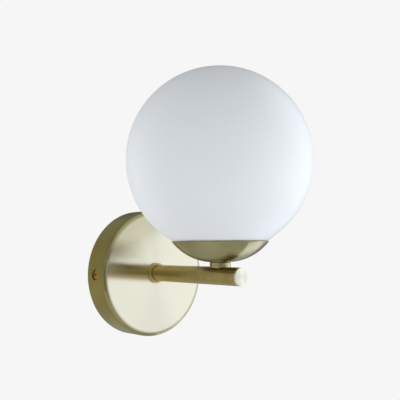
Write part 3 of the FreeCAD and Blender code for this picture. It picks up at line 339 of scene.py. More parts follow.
def nut(width, bore, height):
    """Hexagon nut with its corners turned down on both faces."""
    corner, blank, lead = width / math.sqrt(3), width / 2 * 1.02, 0.3
    drop = (corner - blank) / 2
    mesh = Profile(bore, lead).to((bore + lead, 0), (blank, 0), (corner, drop), (corner, height - drop),
                                  (blank, height), (bore + lead, height), (bore, height - lead)).close().turn(96)
    for vert in mesh.verts:
        radius = vert.co.xy.length
        if radius > blank - 1e-6:
            aside = (math.degrees(math.atan2(vert.co.y, vert.co.x)) + 30) % 60 - 30
            flat = width / 2 / math.cos(math.radians(30 - abs(aside)))
            if radius > flat:
                vert.co.xy *= flat / radius
    tidy(mesh)
    break_edges(mesh, 0.12, 2, 25, whole_flats=False)
    return mesh


def toothed_washer(bore, radius, thick, teeth=16):
    """Lock washer whose outer teeth are twisted out of its plane."""
    inner, tooth = radius * 0.8, 0.6
    mesh = Profile(bore, 0).to((bore, thick), (inner, thick), (radius, thick), (radius, 0), (inner, 0)).close()
    mesh = mesh.turn(teeth * 6)
    for vert in mesh.verts:
        if vert.co.xy.length > inner + 0.01:
            share = (math.atan2(vert.co.y, vert.co.x) / math.tau * teeth) % 1.0
            if share > tooth:
                vert.co.xy *= (inner + 0.02) / vert.co.xy.length
            else:
                vert.co.z = thick / 2 + (vert.co.z - thick / 2) * 0.6 + (share - tooth / 2) * 0.3 * thick
    tidy(mesh)
    break_edges(mesh, 0.06, 1, 60)
    return mesh


def cut_cross(mesh, half, reach, deep, cross=True):
    """Sinks a cross recess, or a slot, into the top of a head that stands on its Z axis."""
    for axis in (Vector((1, 0, 0)), Vector((0, 1, 0))):
        for side in (-half, half):
            bmesh.ops.bisect_plane(mesh, geom=mesh.verts[:] + mesh.edges[:] + mesh.faces[:], dist=1e-5,
                                   plane_co=axis * side, plane_no=axis)
    top = max(vert.co.z for vert in mesh.verts)
    chosen = []
    for face in mesh.faces:
        at = face.calc_center_median()
        across, along = sorted((abs(at.x), abs(at.y))) if cross else (abs(at.x), abs(at.y))
        if face.normal.z > 0.3 and across < half and along < reach and at.z > 0:
            chosen.append(face)
    sunk = bmesh.ops.extrude_face_region(mesh, geom=chosen)
    narrow = 0.75 if cross else 1.0
    for vert in verts_in(sunk["geom"]):
        vert.co = Vector((vert.co.x * narrow, vert.co.y * narrow, top - deep))
    bmesh.ops.delete(mesh, geom=chosen, context="FACES")
    bmesh.ops.recalc_face_normals(mesh, faces=mesh.faces[:])


def pan_screw(head, high, shank, long, slot=0.35, cross=True):
    """Pan-head screw that stands on its seat, with a cross recess or a slot."""
    mesh, steps, brim = Profile(0, high), 12, 0.42
    for step in range(1, steps + 1):
        across = step / steps
        mesh.to((head * across, high * (brim + (1 - brim) * math.sqrt(1 - across ** 4))))
    mesh.to((head, 0.12), (head - 0.12, 0), (shank, 0)).to(*thread(shank, -0.2, 0.4 - long, 0.7))
    mesh.to((shank - 0.5, -long), (0, -long))
    mesh = mesh.turn(48)
    cut_cross(mesh, slot, head * (0.62 if cross else 2.0), high * 0.75, cross)
    return mesh


def grommet(sleeve_radius, flange):
    """Plastic sleeve with a rounded flange; its own Z points into the nipple."""
    bore, lip, long = sleeve_radius - 0.4, 0.8, 6.0
    outline = Profile(bore + 0.2, -lip).to((flange - 0.3, -lip)).arc(flange - 0.3, 0.3 - lip, -90, 4)
    outline.to((flange, 0), (sleeve_radius, 0), (sleeve_radius, long - 0.2), (sleeve_radius - 0.2, long))
    return outline.to((bore, long), (bore, 0.2 - lip)).close().turn(48)


def press(mesh, radius, height, reach, drop, lip=0.7):
    """Presses a cone-shaped dimple into both sides of a shell, along X."""
    for vert in mesh.verts:
        away = math.hypot(vert.co.y, vert.co.z - height)
        if away > reach + 2 * lip or abs(vert.co.x) < radius / 2:
            continue
        deep = reach - away
        depth = lip * math.log1p(math.exp(min(deep / lip, 30.0) * 4)) / 4
        depth = drop - lip * math.log1p(math.exp((drop - depth) / lip * 4)) / 4
        if depth > 0.02:
            vert.co.x = math.copysign(min(abs(vert.co.x), radius - depth), vert.co.x)


def add_piece(name, mesh, place, look, stands_for=(), smooth_below=20, body="fixture"):
    """Makes the object, puts its place in its mesh, and ties it to its body and its frame nodes."""
    mesh.transform(place)
    data = bpy.data.meshes.new(name)
    mesh.to_mesh(data)
    mesh.free()
    data.shade_smooth()
    data.set_sharp_from_angle(angle=math.radians(smooth_below))
    piece = bpy.data.objects.new(name, data)
    bpy.context.scene.collection.objects.link(piece)
    data.materials.append(finish(look))
    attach(piece, body)
    if stands_for:
        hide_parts(*stands_for)
    return piece


def dress(node, look):
    """Gives a frame node that stays its own finish."""
    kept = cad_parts[node]
    if not kept.material_slots:
        kept.data.materials.append(finish(look))
    kept.material_slots[0].link = "OBJECT"
    kept.material_slots[0].material = finish(look)


# Finishes

FLOAT, COLOUR, VECTOR = "NodeSocketFloat", "NodeSocketColor", "NodeSocketVector"


def wire(node, inputs):
    """Sets a node's inputs, and links those whose value comes out of another node."""
    for key, value in inputs.items():
        socket = node.inputs[key]
        if isinstance(value, bpy.types.NodeSocket):
            node.id_data.links.new(value, socket)
        else:
            socket.default_value = (*value, 1.0)[:4] if socket.type == "RGBA" else value


def put(tree, kind, inputs=None, **settings):
    """Adds a node, with its settings, and its inputs set or wired."""
    made = tree.nodes.new(kind)
    for key, value in settings.items():
        setattr(made, key, value)
    wire(made, inputs or {})
    return made


def maths(tree, operation, first, second=0.0):
    """Reckons with one or two values of a surface."""
    return put(tree, "ShaderNodeMath", {0: first, 1: second}, operation=operation).outputs[0]


def times(tree, first, second):
    return maths(tree, "MULTIPLY", first, second)


def hypotenuse(tree, first, second):
    """Distance of a place from an axis, out of its two parts across it."""
    return maths(tree, "SQRT", maths(tree, "ADD", times(tree, first, first), times(tree, second, second)))


def spread(tree, value, low, high, to_low=0.0, to_high=1.0, **settings):
    """Carries a value from one range over to another."""
    ranges = {"Value": value, "From Min": low, "From Max": high, "To Min": to_low, "To Max": to_high}
    return put(tree, "ShaderNodeMapRange", ranges, **settings).outputs["Result"]


def vector_maths(tree, operation, first, second, output=0):
    """Reckons with two places or directions."""
    return put(tree, "ShaderNodeVectorMath", {0: first, 1: second}, operation=operation).outputs[output]


def blend_colours(tree, share, first, second):
    """The first colour where the share is 0, and the second where it is 1."""
    return put(tree, "ShaderNodeMix", {0: share, 6: first, 7: second}, data_type="RGBA").outputs[2]


def on_object(tree):
    return put(tree, "ShaderNodeTexCoord").outputs["Object"]


def noise(tree, place, scale, **inputs):
    return put(tree, "ShaderNodeTexNoise", {"Vector": place, "Scale": scale, **inputs}).outputs["Fac"]


def effect(name, inputs, outputs):
    """A shader node group with named inputs and outputs."""
    tree = bpy.data.node_groups.new(name, "ShaderNodeTree")
    for label, kind, value in inputs:
        socket = tree.interface.new_socket(name=label, in_out="INPUT", socket_type=kind)
        socket.default_value = value
    for label, kind in outputs:
        tree.interface.new_socket(name=label, in_out="OUTPUT", socket_type=kind)
    return tree, tree.nodes.new("NodeGroupInput").outputs, tree.nodes.new("NodeGroupOutput")


def patina_clouds():
    """Soft darker and greener clouds in a metal's colour, some millimetres wide."""
    tree, given, made = effect(
        "Patina clouds",
        [("Metal", COLOUR, (0.5, 0.5, 0.5, 1)), ("Patina", COLOUR, (0.2, 0.2, 0.1, 1)), ("Scale", FLOAT, 60.0),
         ("Amount", FLOAT, 0.3)],
        [("Colour", COLOUR), ("Mask", FLOAT)])
    mask = spread(tree, noise(tree, on_object(tree), given["Scale"], Detail=5.0, Roughness=0.6), 0.35, 0.7)
    share = times(tree, mask, given["Amount"])
    wire(made, {"Colour": blend_colours(tree, share, given["Metal"], given["Patina"]), "Mask": mask})
    return tree


def fine_grain():
    """Fine speckle of a surface as a roughness and as a height."""
    tree, given, made = effect(
        "Fine grain",
        [("Scale", FLOAT, 2500.0), ("Smoothest", FLOAT, 0.2), ("Roughest", FLOAT, 0.3)],
        [("Roughness", FLOAT), ("Height", FLOAT)])
    place = on_object(tree)
    grain = noise(tree, place, given["Scale"], Detail=3.0)
    broad = noise(tree, place, 45.0, Detail=3.0)
    both = maths(tree, "ADD", times(tree, grain, 0.5), times(tree, broad, 0.5))
    rough = spread(tree, both, 0.35, 0.65, given["Smoothest"], given["Roughest"])
    wire(made, {"Roughness": rough, "Height": grain})
    return tree


def turning_lines():
    """Fine lines round the local Z axis of the given place, as a lathe or a spinning tool leaves them."""
    tree, given, made = effect(
        "Turning lines", [("Place", VECTOR, (0, 0, 0)), ("Scale", FLOAT, 3000.0)], [("Height", FLOAT)])
    parts = put(tree, "ShaderNodeSeparateXYZ", {0: given["Place"]}).outputs
    radius = hypotenuse(tree, parts["X"], parts["Y"])
    along = put(tree, "ShaderNodeCombineXYZ", {"X": radius, "Y": parts["Z"], "Z": 0.0}).outputs[0]
    wire(made, {"Height": noise(tree, along, given["Scale"], Detail=2.0)})
    return tree


def dimple_dirt_and_shade():
    """1 in the two pressed dimples at a plate's sides, where dirt and painted shade darken the plate, and 0
    elsewhere.
    """
    tree, given, made = effect(
        "Dimple dirt", [("Out of wall", FLOAT, 0.01), ("Inside", FLOAT, 0.003), ("Outside", FLOAT, 0.005)],
        [("Mask", FLOAT)])
    parts = put(tree, "ShaderNodeSeparateXYZ", {0: on_object(tree)}).outputs
    away = hypotenuse(tree, maths(tree, "ADD", parts["Y"], given["Out of wall"]), parts["Z"])
    near = spread(tree, away, given["Inside"], given["Outside"], 1.0, 0.0)
    at_side = spread(tree, maths(tree, "ABSOLUTE", parts["X"]), 0.05, 0.051)
    wire(made, {"Mask": times(tree, near, at_side)})
    return tree


def painted_highlight_disc():
    """1 on a turned piece's face, inside a radius from the axis of the given place, and 0 outside; it places the
    plate's painted highlights.
    """
    tree, given, made = effect(
        "Painted highlight disc", [("Place", VECTOR, (0, 0, 0)), ("Inside", FLOAT, 0.05), ("Outside", FLOAT, 0.054)],
        [("Mask", FLOAT)])
    parts = put(tree, "ShaderNodeSeparateXYZ", {0: given["Place"]}).outputs
    radius = hypotenuse(tree, parts["X"], parts["Y"])
    wire(made, {"Mask": spread(tree, radius, given["Inside"], given["Outside"], 1.0, 0.0)})
    return tree


EFFECTS = {}


def use(tree, make, inputs):
    """Places one of the shared effects in a material with its own values."""
    if make.__name__ not in EFFECTS:
        EFFECTS[make.__name__] = make()
    return put(tree, "ShaderNodeGroup", inputs, node_tree=EFFECTS[make.__name__]).outputs


def new_finish(name, **constants):
    """An empty finish, the tree of its nodes, and its shader with the values that are the same all over."""
    made = bpy.data.materials.new(name)
    made.use_nodes = True
    surface = next(node for node in made.node_tree.nodes if node.type == "BSDF_PRINCIPLED")
    wire(surface, {key.replace("_", " "): value for key, value in constants.items()})
    return made, made.node_tree, surface


def lay_on(surface, colour, roughness, bump, height):
    """Feeds a finish's colour, gloss and relief into its shader."""
    relief = put(surface.id_data, "ShaderNodeBump", {"Strength": bump, "Distance": 0.0002, "Height": height})
    wire(surface, {"Base Color": colour, "Roughness": roughness, "Normal": relief.outputs["Normal"]})


# A piece's turning axis: how a pattern is moved and turned onto it, its direction, and a point on it
ROUND_WALL_AXIS = ((0, 0, 0), (math.radians(90), 0, 0), (0, 1, 0), (0, 0, 0))
ROUND_GLOBE_AXIS = ((0, -GLOBE_Y, 0), (0, 0, 0), (0, 0, 1), (0, GLOBE_Y, 0))

# The edge colour tints the plate's rounded edge grey so that its highlight reads pale: a painted highlight
DARK_PATINA, DIMPLE_DIRT_AND_SHADE, EDGE_HIGHLIGHT_TINT = (0.16, 0.125, 0.04), (0.1, 0.07, 0.02), (0.33, 0.305, 0.155)


def paint_plate_highlights_shade_and_dirt(tree, place, colour, face):
    """The plate's colour, tinted grey round its edge and paled on its face as painted highlights, and dark in its
    dimples with dirt and painted shade.
    """
    for inside, outside, tone in ((0.0545, 0.0559, EDGE_HIGHLIGHT_TINT), (0.0512, 0.0536, face)):
        mask = use(tree, painted_highlight_disc, {"Place": place, "Inside": inside, "Outside": outside})["Mask"]
        colour = blend_colours(tree, mask, colour, tone)
    # The dimples are darkened with dirt and with painted shade of their hollows
    dirt_and_shade = use(tree, dimple_dirt_and_shade, {"Out of wall": DIMPLE_OUT, "Inside": 0.0044, "Outside": 0.0049})
    return blend_colours(tree, dirt_and_shade["Mask"], colour, DIMPLE_DIRT_AND_SHADE)


def worked_metal(name, metal, patina, amount, scale, smooth, rough, axis=None, brushed=1.0, bump=0.02,
                 highlit=None):
    """A metal with clouds of patina, a speckled gloss and, where it was turned, fine lines round its axis."""
    made, tree, surface = new_finish(name, Metallic=1.0)
    colour = use(tree, patina_clouds, {"Metal": metal, "Patina": patina, "Scale": scale, "Amount": amount})["Colour"]
    speckle = use(tree, fine_grain, {"Scale": 2500.0, "Smoothest": smooth, "Roughest": rough})
    height = speckle["Height"]
    if axis:
        moved, turned, direction, point = axis
        place = on_object(tree)
        centred = put(tree, "ShaderNodeMapping", {"Vector": place, "Location": moved, "Rotation": turned}).outputs[0]
        rings = use(tree, turning_lines, {"Place": centred, "Scale": 2500.0})
        height = maths(tree, "ADD", height, rings["Height"])
        away = vector_maths(tree, "SUBTRACT", place, point)
        wire(surface, {"Tangent": vector_maths(tree, "CROSS_PRODUCT", direction, away), "Anisotropic": brushed,
                       "Anisotropic Rotation": 0.25})
    if highlit:
        colour = paint_plate_highlights_shade_and_dirt(tree, centred, colour, highlit)
    lay_on(surface, colour, speckle["Roughness"], bump, height)
    return made


def moulded(name, colour, shade, smooth, rough, scale=60.0, amount=0.25, grain=1800.0, bump=0.06):
    """A plastic, rubber, ceramic or opal glass with slight clouds of a second shade and a fine grain."""
    made, tree, surface = new_finish(name)
    clouds = use(tree, patina_clouds, {"Metal": colour, "Patina": shade, "Scale": scale, "Amount": amount})
    speckle = use(tree, fine_grain, {"Scale": grain, "Smoothest": smooth, "Roughest": rough})
    lay_on(surface, clouds["Colour"], speckle["Roughness"], bump, speckle["Height"])
    return made


# Finish: its metal, its patina, the patina's amount and scale, how smooth and how rough, and where it was turned
METALS = {
    # The arm, neck and cup brass are copies of the one antique brass, each given its own tone for how light falls on
    # that piece: painted light; the neck is paled for its highlight
    "arm brass": ((0.47, 0.37, 0.135), DARK_PATINA, 0.3, 70.0, 0.23, 0.29, ROUND_WALL_AXIS, 0.7),
    "neck brass": ((0.5, 0.42, 0.22), DARK_PATINA, 0.2, 60.0, 0.14, 0.2, ROUND_GLOBE_AXIS),
    "cup brass": ((0.37, 0.335, 0.17), DARK_PATINA, 0.2, 60.0, 0.17, 0.23, ROUND_GLOBE_AXIS),
    "bare brass": ((0.72, 0.56, 0.28), (0.5, 0.36, 0.15), 0.4, 150.0, 0.22, 0.38),
    "orange brass": ((0.5, 0.27, 0.07), (0.3, 0.15, 0.04), 0.4, 200.0, 0.16, 0.26),
    "zinc plate": ((0.66, 0.67, 0.68), (0.5, 0.52, 0.5), 0.5, 120.0, 0.28, 0.42, None, 0.0, 0.1),
    "spring steel": ((0.45, 0.46, 0.48), (0.3, 0.31, 0.34), 0.5, 160.0, 0.2, 0.34),
}
# Finish: its colour, its second shade, how smooth and how rough, and what differs from other mouldings
MOULDINGS = {
    "ceramic": ((0.86, 0.85, 0.8), (0.78, 0.76, 0.7), 0.45, 0.65, {"bump": 0.15}),
    "lamp ceramic": ((0.88, 0.88, 0.85), (0.8, 0.79, 0.75), 0.5, 0.7, {"bump": 0.12}),
    "insulator": ((0.84, 0.83, 0.79), (0.76, 0.75, 0.7), 0.35, 0.5, {}),
    "grommet": ((0.88, 0.88, 0.85), (0.8, 0.8, 0.76), 0.35, 0.5, {}),
    "soft ring": ((0.8, 0.8, 0.78), (0.72, 0.72, 0.7), 0.5, 0.7, {}),
    "live sleeve": ((0.2, 0.085, 0.035), (0.14, 0.055, 0.025), 0.35, 0.5, {}),
    "neutral sleeve": ((0.05, 0.16, 0.5), (0.035, 0.11, 0.38), 0.35, 0.5, {}),
    "earth sleeve": ((0.14, 0.42, 0.06), (0.7, 0.65, 0.05), 0.35, 0.5, {"scale": 90.0, "amount": 1.0}),
}
# The record's slot of a finish, where it isn't the finish's own name
SLOTS = dict.fromkeys(("plate brass", "arm brass", "neck brass", "cup brass", "end brass"), "antique_brass")
SLOTS["zinc plate"] = "zinc_steel"
FINISHES = {}


def finish(name):
    """The named finish, made when it is first asked for."""
    if name in FINISHES:
        return FINISHES[name]
    colours = bpy.context.scene.light_colours
    brass, opal = tuple(colours.brass), tuple(colours.opal)
    if name in METALS:
        made = worked_metal(name, *METALS[name])
    elif name in MOULDINGS:
        *values, differs = MOULDINGS[name]
        made = moulded(name, *values, **differs)
    elif name == "plate brass":
        # The plate's brass is paled on its face and tinted grey at its edge as painted highlights, and darkened in
        # its dimples with dirt and painted shade
        made = worked_metal(name, brass, DARK_PATINA, 0.25, 40.0, 0.165, 0.195, ROUND_WALL_AXIS, bump=0.008,
                            highlit=tuple(colours.plate_face))
    # The end plug is the same brass paled to cream: a painted highlight of the end face that turns to the light
    elif name == "end brass":
        made = worked_metal(name, (0.75, 0.72, 0.55), brass, 0.1, 70.0, 0.24, 0.3, ROUND_WALL_AXIS)
    elif name == "opal glass":
        made = moulded(name, opal, tuple(0.97 * part for part in opal), 0.36, 0.44, 12.0, 0.5, 1200.0, 0.02)
    elif name == "clear glass":
        made = new_finish(name, Transmission_Weight=1.0, IOR=1.47, Roughness=0.02)[0]
    else:
        raise KeyError(name)
    FINISHES[name] = made
    return made


# Pieces

class MakePlate(bpy.types.Operator):
    """Model the drawn wall plate with its two pressed dimples"""
    bl_idname = "wall_light.plate"
    bl_label = "Wall plate"

    def execute(self, context):
        sizes = context.scene.light_sizes
        radius, depth, edge = sizes.plate_radius / MM, sizes.plate_depth / MM, sizes.plate_edge / MM
        # The rim has fine rows, and fine steps round each side, where the dimples are pressed in
        rows, fine_low, fine_high, dimple_half, dimple_steps, steps = 44, 4.0, 17.4, 6.8, 44, 56
        bore, foot = 5.2, 0.15
        rim = Profile(radius, 0.0).to((radius, foot))
        rim.to(*[(radius, fine_low + (fine_high - fine_low) * row / rows) for row in range(rows + 1)])
        rim.to((radius, depth - edge)).arc(radius - edge, depth - edge, -90, 10)
        rim.to((radius - edge - 0.15, depth), (40.0, depth), (20.0, depth), (bore + 0.25, depth), (bore, depth))
        mesh = rim.mesh
        outline = mesh.verts[:] + mesh.edges[:]
        fine = math.degrees(dimple_half / radius)
        bmesh.ops.rotate(mesh, verts=mesh.verts[:], cent=(0, 0, 0),
                         matrix=Matrix.Rotation(math.radians(-fine), 3, "Z"))
        for degrees, count in ((2 * fine, dimple_steps), (180 - 2 * fine, steps)) * 2:
            swept = bmesh.ops.spin(
                mesh, geom=outline, cent=(0, 0, 0), axis=(0, 0, 1), angle=math.radians(degrees), steps=count)
            outline = swept["geom_last"]
        tidy(mesh, 1e-3)
        press(mesh, radius, DIMPLE_OUT / MM, 4.8, 2.6)
        bmesh.ops.recalc_face_normals(mesh, faces=mesh.faces[:])
        top = max(mesh.faces, key=lambda face: face.calc_center_median().z)
        if top.normal.z < 0:
            bmesh.ops.reverse_faces(mesh, faces=mesh.faces[:])
        plate = add_piece("wall_plate", mesh, on_wall(), "plate brass", ["canopy"], 40)
        shell = plate.modifiers.new("Wall", "SOLIDIFY")
        shell.thickness = MM
        shell.offset = -1.0
        shell.use_even_offset = True
        shell.use_rim = True
        return {"FINISHED"}


class MakeSideScrews(bpy.types.Operator):
    """Model the two raised countersunk screws in the plate's dimples"""
    bl_idname = "wall_light.side_screws"
    bl_label = "Side screws"

    def execute(self, context):
        head, crown, shank, root, steps = 3.8, 0.9, 2.0, 1.65, 14
        screw = Profile(0, crown)
        for step in range(1, steps + 1):
            screw.to((head * step / steps, crown - crown * (step / steps) ** 2))
        screw.to((shank, -1.8), (shank, -2.4)).to(*[
            (shank - 0.02 if ridge % 2 else root, -2.4 - 0.35 * ridge) for ridge in range(1, 18)]).to((0, -8.6))
        mesh = screw.turn(64)
        cut_cross(mesh, 0.42, 2.1, 1.5)
        for side, name in ((-1, "side_screw_left"), (1, "side_screw_right")):
            place = Matrix.Translation((side * (span("canopy_screws", 0)[1] - crown * MM), -DIMPLE_OUT, 0))
            place = place @ Matrix.Rotation(side * math.radians(90), 4, "Y")
            place = place @ Matrix.Rotation(math.radians(20), 4, "Z") @ Matrix.Scale(MM, 4)
            add_piece(name, mesh.copy(), place, "orange brass", ["canopy_screws"] if side < 0 else (), 35)
        mesh.free()
        return {"FINISHED"}


class MakeArm(bpy.types.Operator):
    """Model the arm: collar, tube, end plug and neck"""
    bl_idname = "wall_light.arm"
    bl_label = "Arm"

    def execute(self, context):
        radius = context.scene.light_sizes.arm_radius / MM
        bore = radius - 1.2
        start, end = out_of_wall("arm_tube")
        tube = Profile(radius, start).to((radius, end), (bore, end), (bore, start)).close().turn(128, 0.05, 1)
        add_piece("arm_pipe", tube, on_wall(), "arm brass", ["arm_tube"], 35)
        foot, head = out_of_wall("arm_collar")
        inner, bead = radius + 0.05, 1.0
        centre = to_the_right("arm_collar") - 0.3 - bead
        ring = Profile(inner, foot).to((centre + 0.7, foot), (centre + 0.7, head - bead - 0.714))
        ring = ring.arc(centre, head - bead, -135.6, 14).to((inner, head)).close().turn(128)
        add_piece("arm_ring", ring, on_wall(), "arm brass", ["arm_collar"], 35)
        plug_foot, plug_end = 93.5, out_of_wall("arm_end_plug")[1]
        cap = Profile(0, plug_end).to((radius, plug_end), (radius, end), (bore, end), (bore, plug_foot),
                                      (0, plug_foot))
        add_piece("arm_cap", cap.turn(128, 0.4, 3), on_wall(), "end brass", ["arm_end_plug"], 35)
        bottom, top = upward("neck")
        wide, eased, rows = to_the_right("neck"), 0.4, 8
        neck = Profile(CUP_BORE, bottom).to(*[
            (CUP_BORE + (wide - eased - CUP_BORE) * row / rows, bottom) for row in range(1, rows + 1)])
        neck.to((wide, bottom + eased), (wide, top - eased), (wide - eased, top), (CUP_BORE, top)).close()
        neck = neck.turn(96)
        for vert in neck.verts:
            if vert.co.z < bottom + 0.1 and abs(vert.co.x) < radius:
                vert.co.z = max(bottom, math.sqrt(radius ** 2 - vert.co.x ** 2) + 0.02)
        add_piece("neck_ring", neck, on_axis(), "neck brass", ["neck"], 35)
        return {"FINISHED"}


class MakeCup(bpy.types.Operator):
    """Model the spun cup under the globe"""
    bl_idname = "wall_light.cup"
    bl_label = "Cup"

    def execute(self, context):
        slope = math.acos((CUP_CENTRE - CUP_RIM) / CUP_ARC)
        sweep, inner = math.degrees(slope), CUP_ARC - CUP_WALL
        cup = Profile(CUP_BORE, CUP_FOOT).to((CUP_FLAT, CUP_FOOT)).arc(CUP_FLAT, CUP_CENTRE, -sweep, 40)
        cup.to((CUP_FLAT + inner * math.sin(slope), CUP_CENTRE - inner * math.cos(slope)))
        cup.arc(CUP_FLAT, CUP_CENTRE, sweep, 40).to((CUP_BORE, CUP_FOOT + CUP_WALL)).close()
        add_piece("spun_cup", cup.turn(160, 0.3, 3), on_axis(), "cup brass", ["cup"], 35)
        return {"FINISHED"}


class MakeGlobe(bpy.types.Operator):
    """Model the satin opal glass globe"""
    bl_idname = "wall_light.globe"
    bl_label = "Globe"

    def execute(self, context):
        sizes = context.scene.light_sizes
        radius, wall, opening = sizes.globe_radius / MM, sizes.glass_wall / MM, 32.0
        centre = upward("globe")[1] - radius
        outside = math.degrees(math.acos(opening / radius)) + 90
        inside = math.degrees(math.acos(opening / (radius - wall))) + 90
        glass = Profile(0, centre + radius).arc(0, centre, outside, 96)
        glass.to((opening, centre - math.sqrt((radius - wall) ** 2 - opening ** 2)))
        glass = glass.arc(0, centre, -inside, 96).turn(160, 0.7, 3)
        add_piece("opal_globe", glass, on_axis(), "opal glass", ["globe"], 50, "globe")
        return {"FINISHED"}


class MakeBracket(bpy.types.Operator):
    """Model the folded steel bracket on the wall"""
    bl_idname = "wall_light.bracket"
    bl_label = "Wall bracket"

    def execute(self, context):
        thick, half, ear, ear_top = 1.5, 10.0, 16.0, upward("wall_bracket")[1]
        side_x, out = to_the_right("wall_bracket") - thick / 2, out_of_wall("wall_bracket")[1]
        radius = 1.2 + thick / 2
        folds, end = folds_along([(0, thick / 2), (side_x, thick / 2), (side_x, out)], radius)
        strap = Sheet((-end, -half), (end, -half), (end, half), (ear, half), (ear, ear_top), (-ear, ear_top),
                      (-ear, half), (-end, half))
        strap.hole(0, 0, 14, steps=12).hole(15, 0, 4, steps=6).hole(5, 27, 2.5, steps=4)
        for side in (-1, 1):
            strap.hole(side * 30, 0, 14, 4.5).hole(side * (end - out + DIMPLE_OUT / MM), 0, 4, steps=6)
        strap = strap.thicken(thick, 0.18, 3.0, [*four(end, half), (-ear, ear_top), (ear, ear_top)])
        for degrees in (0, 180):
            fold(strap, degrees, *folds[0], radius, thick)
        add_piece("bracket_strap", strap, on_wall(), "zinc plate", ["wall_bracket"])
        return {"FINISHED"}


class MakeTerminals(bpy.types.Operator):
    """Model the terminal block with its inserts and screws"""
    bl_idname = "wall_light.terminals"
    bl_label = "Terminal block"

    def execute(self, context):
        low, high = (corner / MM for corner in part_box("terminal_block"))
        floor, length, centre_up = 1.5, high.z - low.z, (low.z + high.z) / 2
        pitch, beside, deep = 10.0, 4.5, 5.7
        base, tower, half, taper, tunnel, width = 7.4, 13.0, 3.1, 0.6, 4.6, 15
        points = [(-width, 0), (width, 0), (width, base)]
        for across in (pitch, 0, -pitch):
            points += [(across + half, base), (across + half - taper, tower), (across - half + taper, tower),
                       (across - half, base)]
        block = Sheet(*points, (-width, base))
        for number in (-1, 0, 1):
            block.hole(number * pitch, tunnel, 5.2)
        block = block.thicken(length, 0)
        for number in (-1, 0, 1):
            top_at = Vector((number * pitch, tower, length / 2))
            top = min(block.faces, key=lambda face: (face.calc_center_median() - top_at).length)
            sink(block, top, [(top_at + Vector((0, 0, side * beside)), 1.7) for side in (-1, 1)], deep)
        bmesh.ops.recalc_face_normals(block, faces=block.faces[:])
        break_edges(block, 0.25, 2, 50)
        place = on_wall(0, centre_up + length / 2, floor) @ Matrix.Rotation(math.radians(90), 4, "X")
        add_piece("block_body", block, place, "insulator", ["terminal_block"])

        insert_low, insert_high = upward("terminal_inserts")
        reach = (insert_high - insert_low) / 2
        foot, head = out_of_wall("terminal_screws")
        top = head - foot
        for number in (-1, 0, 1):
            place = Matrix.Translation((number * pitch * MM, -(floor + tunnel) * MM, centre_up * MM))
            add_piece(f"terminal_insert_{number + 2}", sleeve(1.7, 2.6, -reach, reach, 40, 0.15),
                      place @ Matrix.Scale(MM, 4), "bare brass", ["terminal_inserts"] if number == -1 else ())
            for side, level in ((-1, "low"), (1, "high")):
                screw = Profile(0, top).to((1.35, top), (1.5, top - 0.15)).to(*thread(1.5, top - 0.3, 0.5, 0.5))
                screw = screw.to((1.1, 0), (0, 0)).turn(32)
                cut_cross(screw, 0.25, 3.0, 0.7, cross=False)
                turned = Matrix.Rotation(math.radians(37 * number + 64 * side), 4, "Z")
                add_piece(f"terminal_screw_{number + 2}_{level}", screw,
                          on_wall(number * pitch, centre_up + side * beside, foot) @ turned, "zinc plate",
                          ["terminal_screws"] if (number, side) == (-1, -1) else ())

        seat, across = floor + base, 5.0
        fixing = pan_screw(to_the_right("terminal_fixing_screw") - across, 1.6, 1.25, seat - 0.2, 0.22)
        add_piece("block_screw", fixing, on_wall(across, centre_up, seat), "zinc plate", ["terminal_fixing_screw"])
        return {"FINISHED"}


class MakeEarth(bpy.types.Operator):
    """Model the earth screw, its cup washer and the crimped tag"""
    bl_idname = "wall_light.earth"
    bl_label = "Earth terminal"

    def execute(self, context):
        x, strap, washer_thick, tag_thick, bore = 15.0, 1.5, 0.8, 0.8, 2.2
        screw = pan_screw(3.7, 2.6, 2.0, 2.9, 0.42)
        place = on_wall(x, 0, strap + washer_thick + tag_thick) @ Matrix.Rotation(0.5, 4, "Z")
        add_piece("earth_terminal_screw", screw, place, "bare brass", ["earth_screw"])
        washer = Profile(bore, 0.25).to((2.45, 0), (3.8, 0), (4.0, 0.2), (4.0, 0.6), (3.8, washer_thick),
                                        (2.45, washer_thick), (bore, 0.55)).close().turn(48)
        add_piece("earth_washer", washer, on_wall(x, 0, strap), "bare brass", ["earth_cup_washer"])
        rim = [(4 * math.cos(math.radians(angle)), 4 * math.sin(math.radians(angle)))
               for angle in range(114, 427, 12)]
        tag = Sheet(*rim, (1.6, 5.2), (-1.6, 5.2)).hole(0, 0, 2 * bore).thicken(tag_thick, 0.12)
        barrel = Profile(0.92, 0).to((1.45, 0), (1.6, 0.15), (1.6, 1.3), (1.42, 1.7), (1.42, 3.3), (1.6, 3.7),
                                     (1.6, 4.85), (1.45, 5.0), (0.92, 5.0)).close().turn(32)
        barrel.transform(Matrix.Translation((0, 5.0, 1.6)) @ Matrix.Rotation(math.radians(-90), 4, "X"))
        joined = bpy.data.meshes.new("barrel")
        barrel.to_mesh(joined)
        barrel.free()
        tag.from_mesh(joined)
        bpy.data.meshes.remove(joined)
        add_piece("earth_ring_tag", tag, on_wall(x, 0, strap + washer_thick), "zinc plate", ["earth_tag"])
        return {"FINISHED"}


class MakeRootFixing(bpy.types.Operator):
    """Model what clamps the arm to the plate: bush, nipple, lock washer, nut and grommet"""
    bl_idname = "wall_light.root_fixing"
    bl_label = "Root fixing"

    def execute(self, context):
        start, end = out_of_wall("canopy_nipple")
        foot, head = out_of_wall("arm_root_bush")
        for name, mesh, out, look, node in (
                ("root_nipple", nipple(4.0, 5.0, start, end, 0.3, 64), 0.0, "zinc plate", "canopy_nipple"),
                ("root_bush", sleeve(5.02, 5.95, foot, head, 64, 0.2), 0.0, "bare brass", "arm_root_bush"),
                ("root_washer", toothed_washer(5.2, 9.0, 0.8, 20), 22.2, "spring steel", "canopy_lock_washer"),
                ("root_nut", nut(14, 5.02, 3.0), 19.2, "zinc plate", "canopy_nut"),
                ("root_grommet", grommet(3.95, 5.0), start, "grommet", "canopy_grommet")):
            add_piece(name, mesh, on_wall(out=out), look, [node])
        return {"FINISHED"}


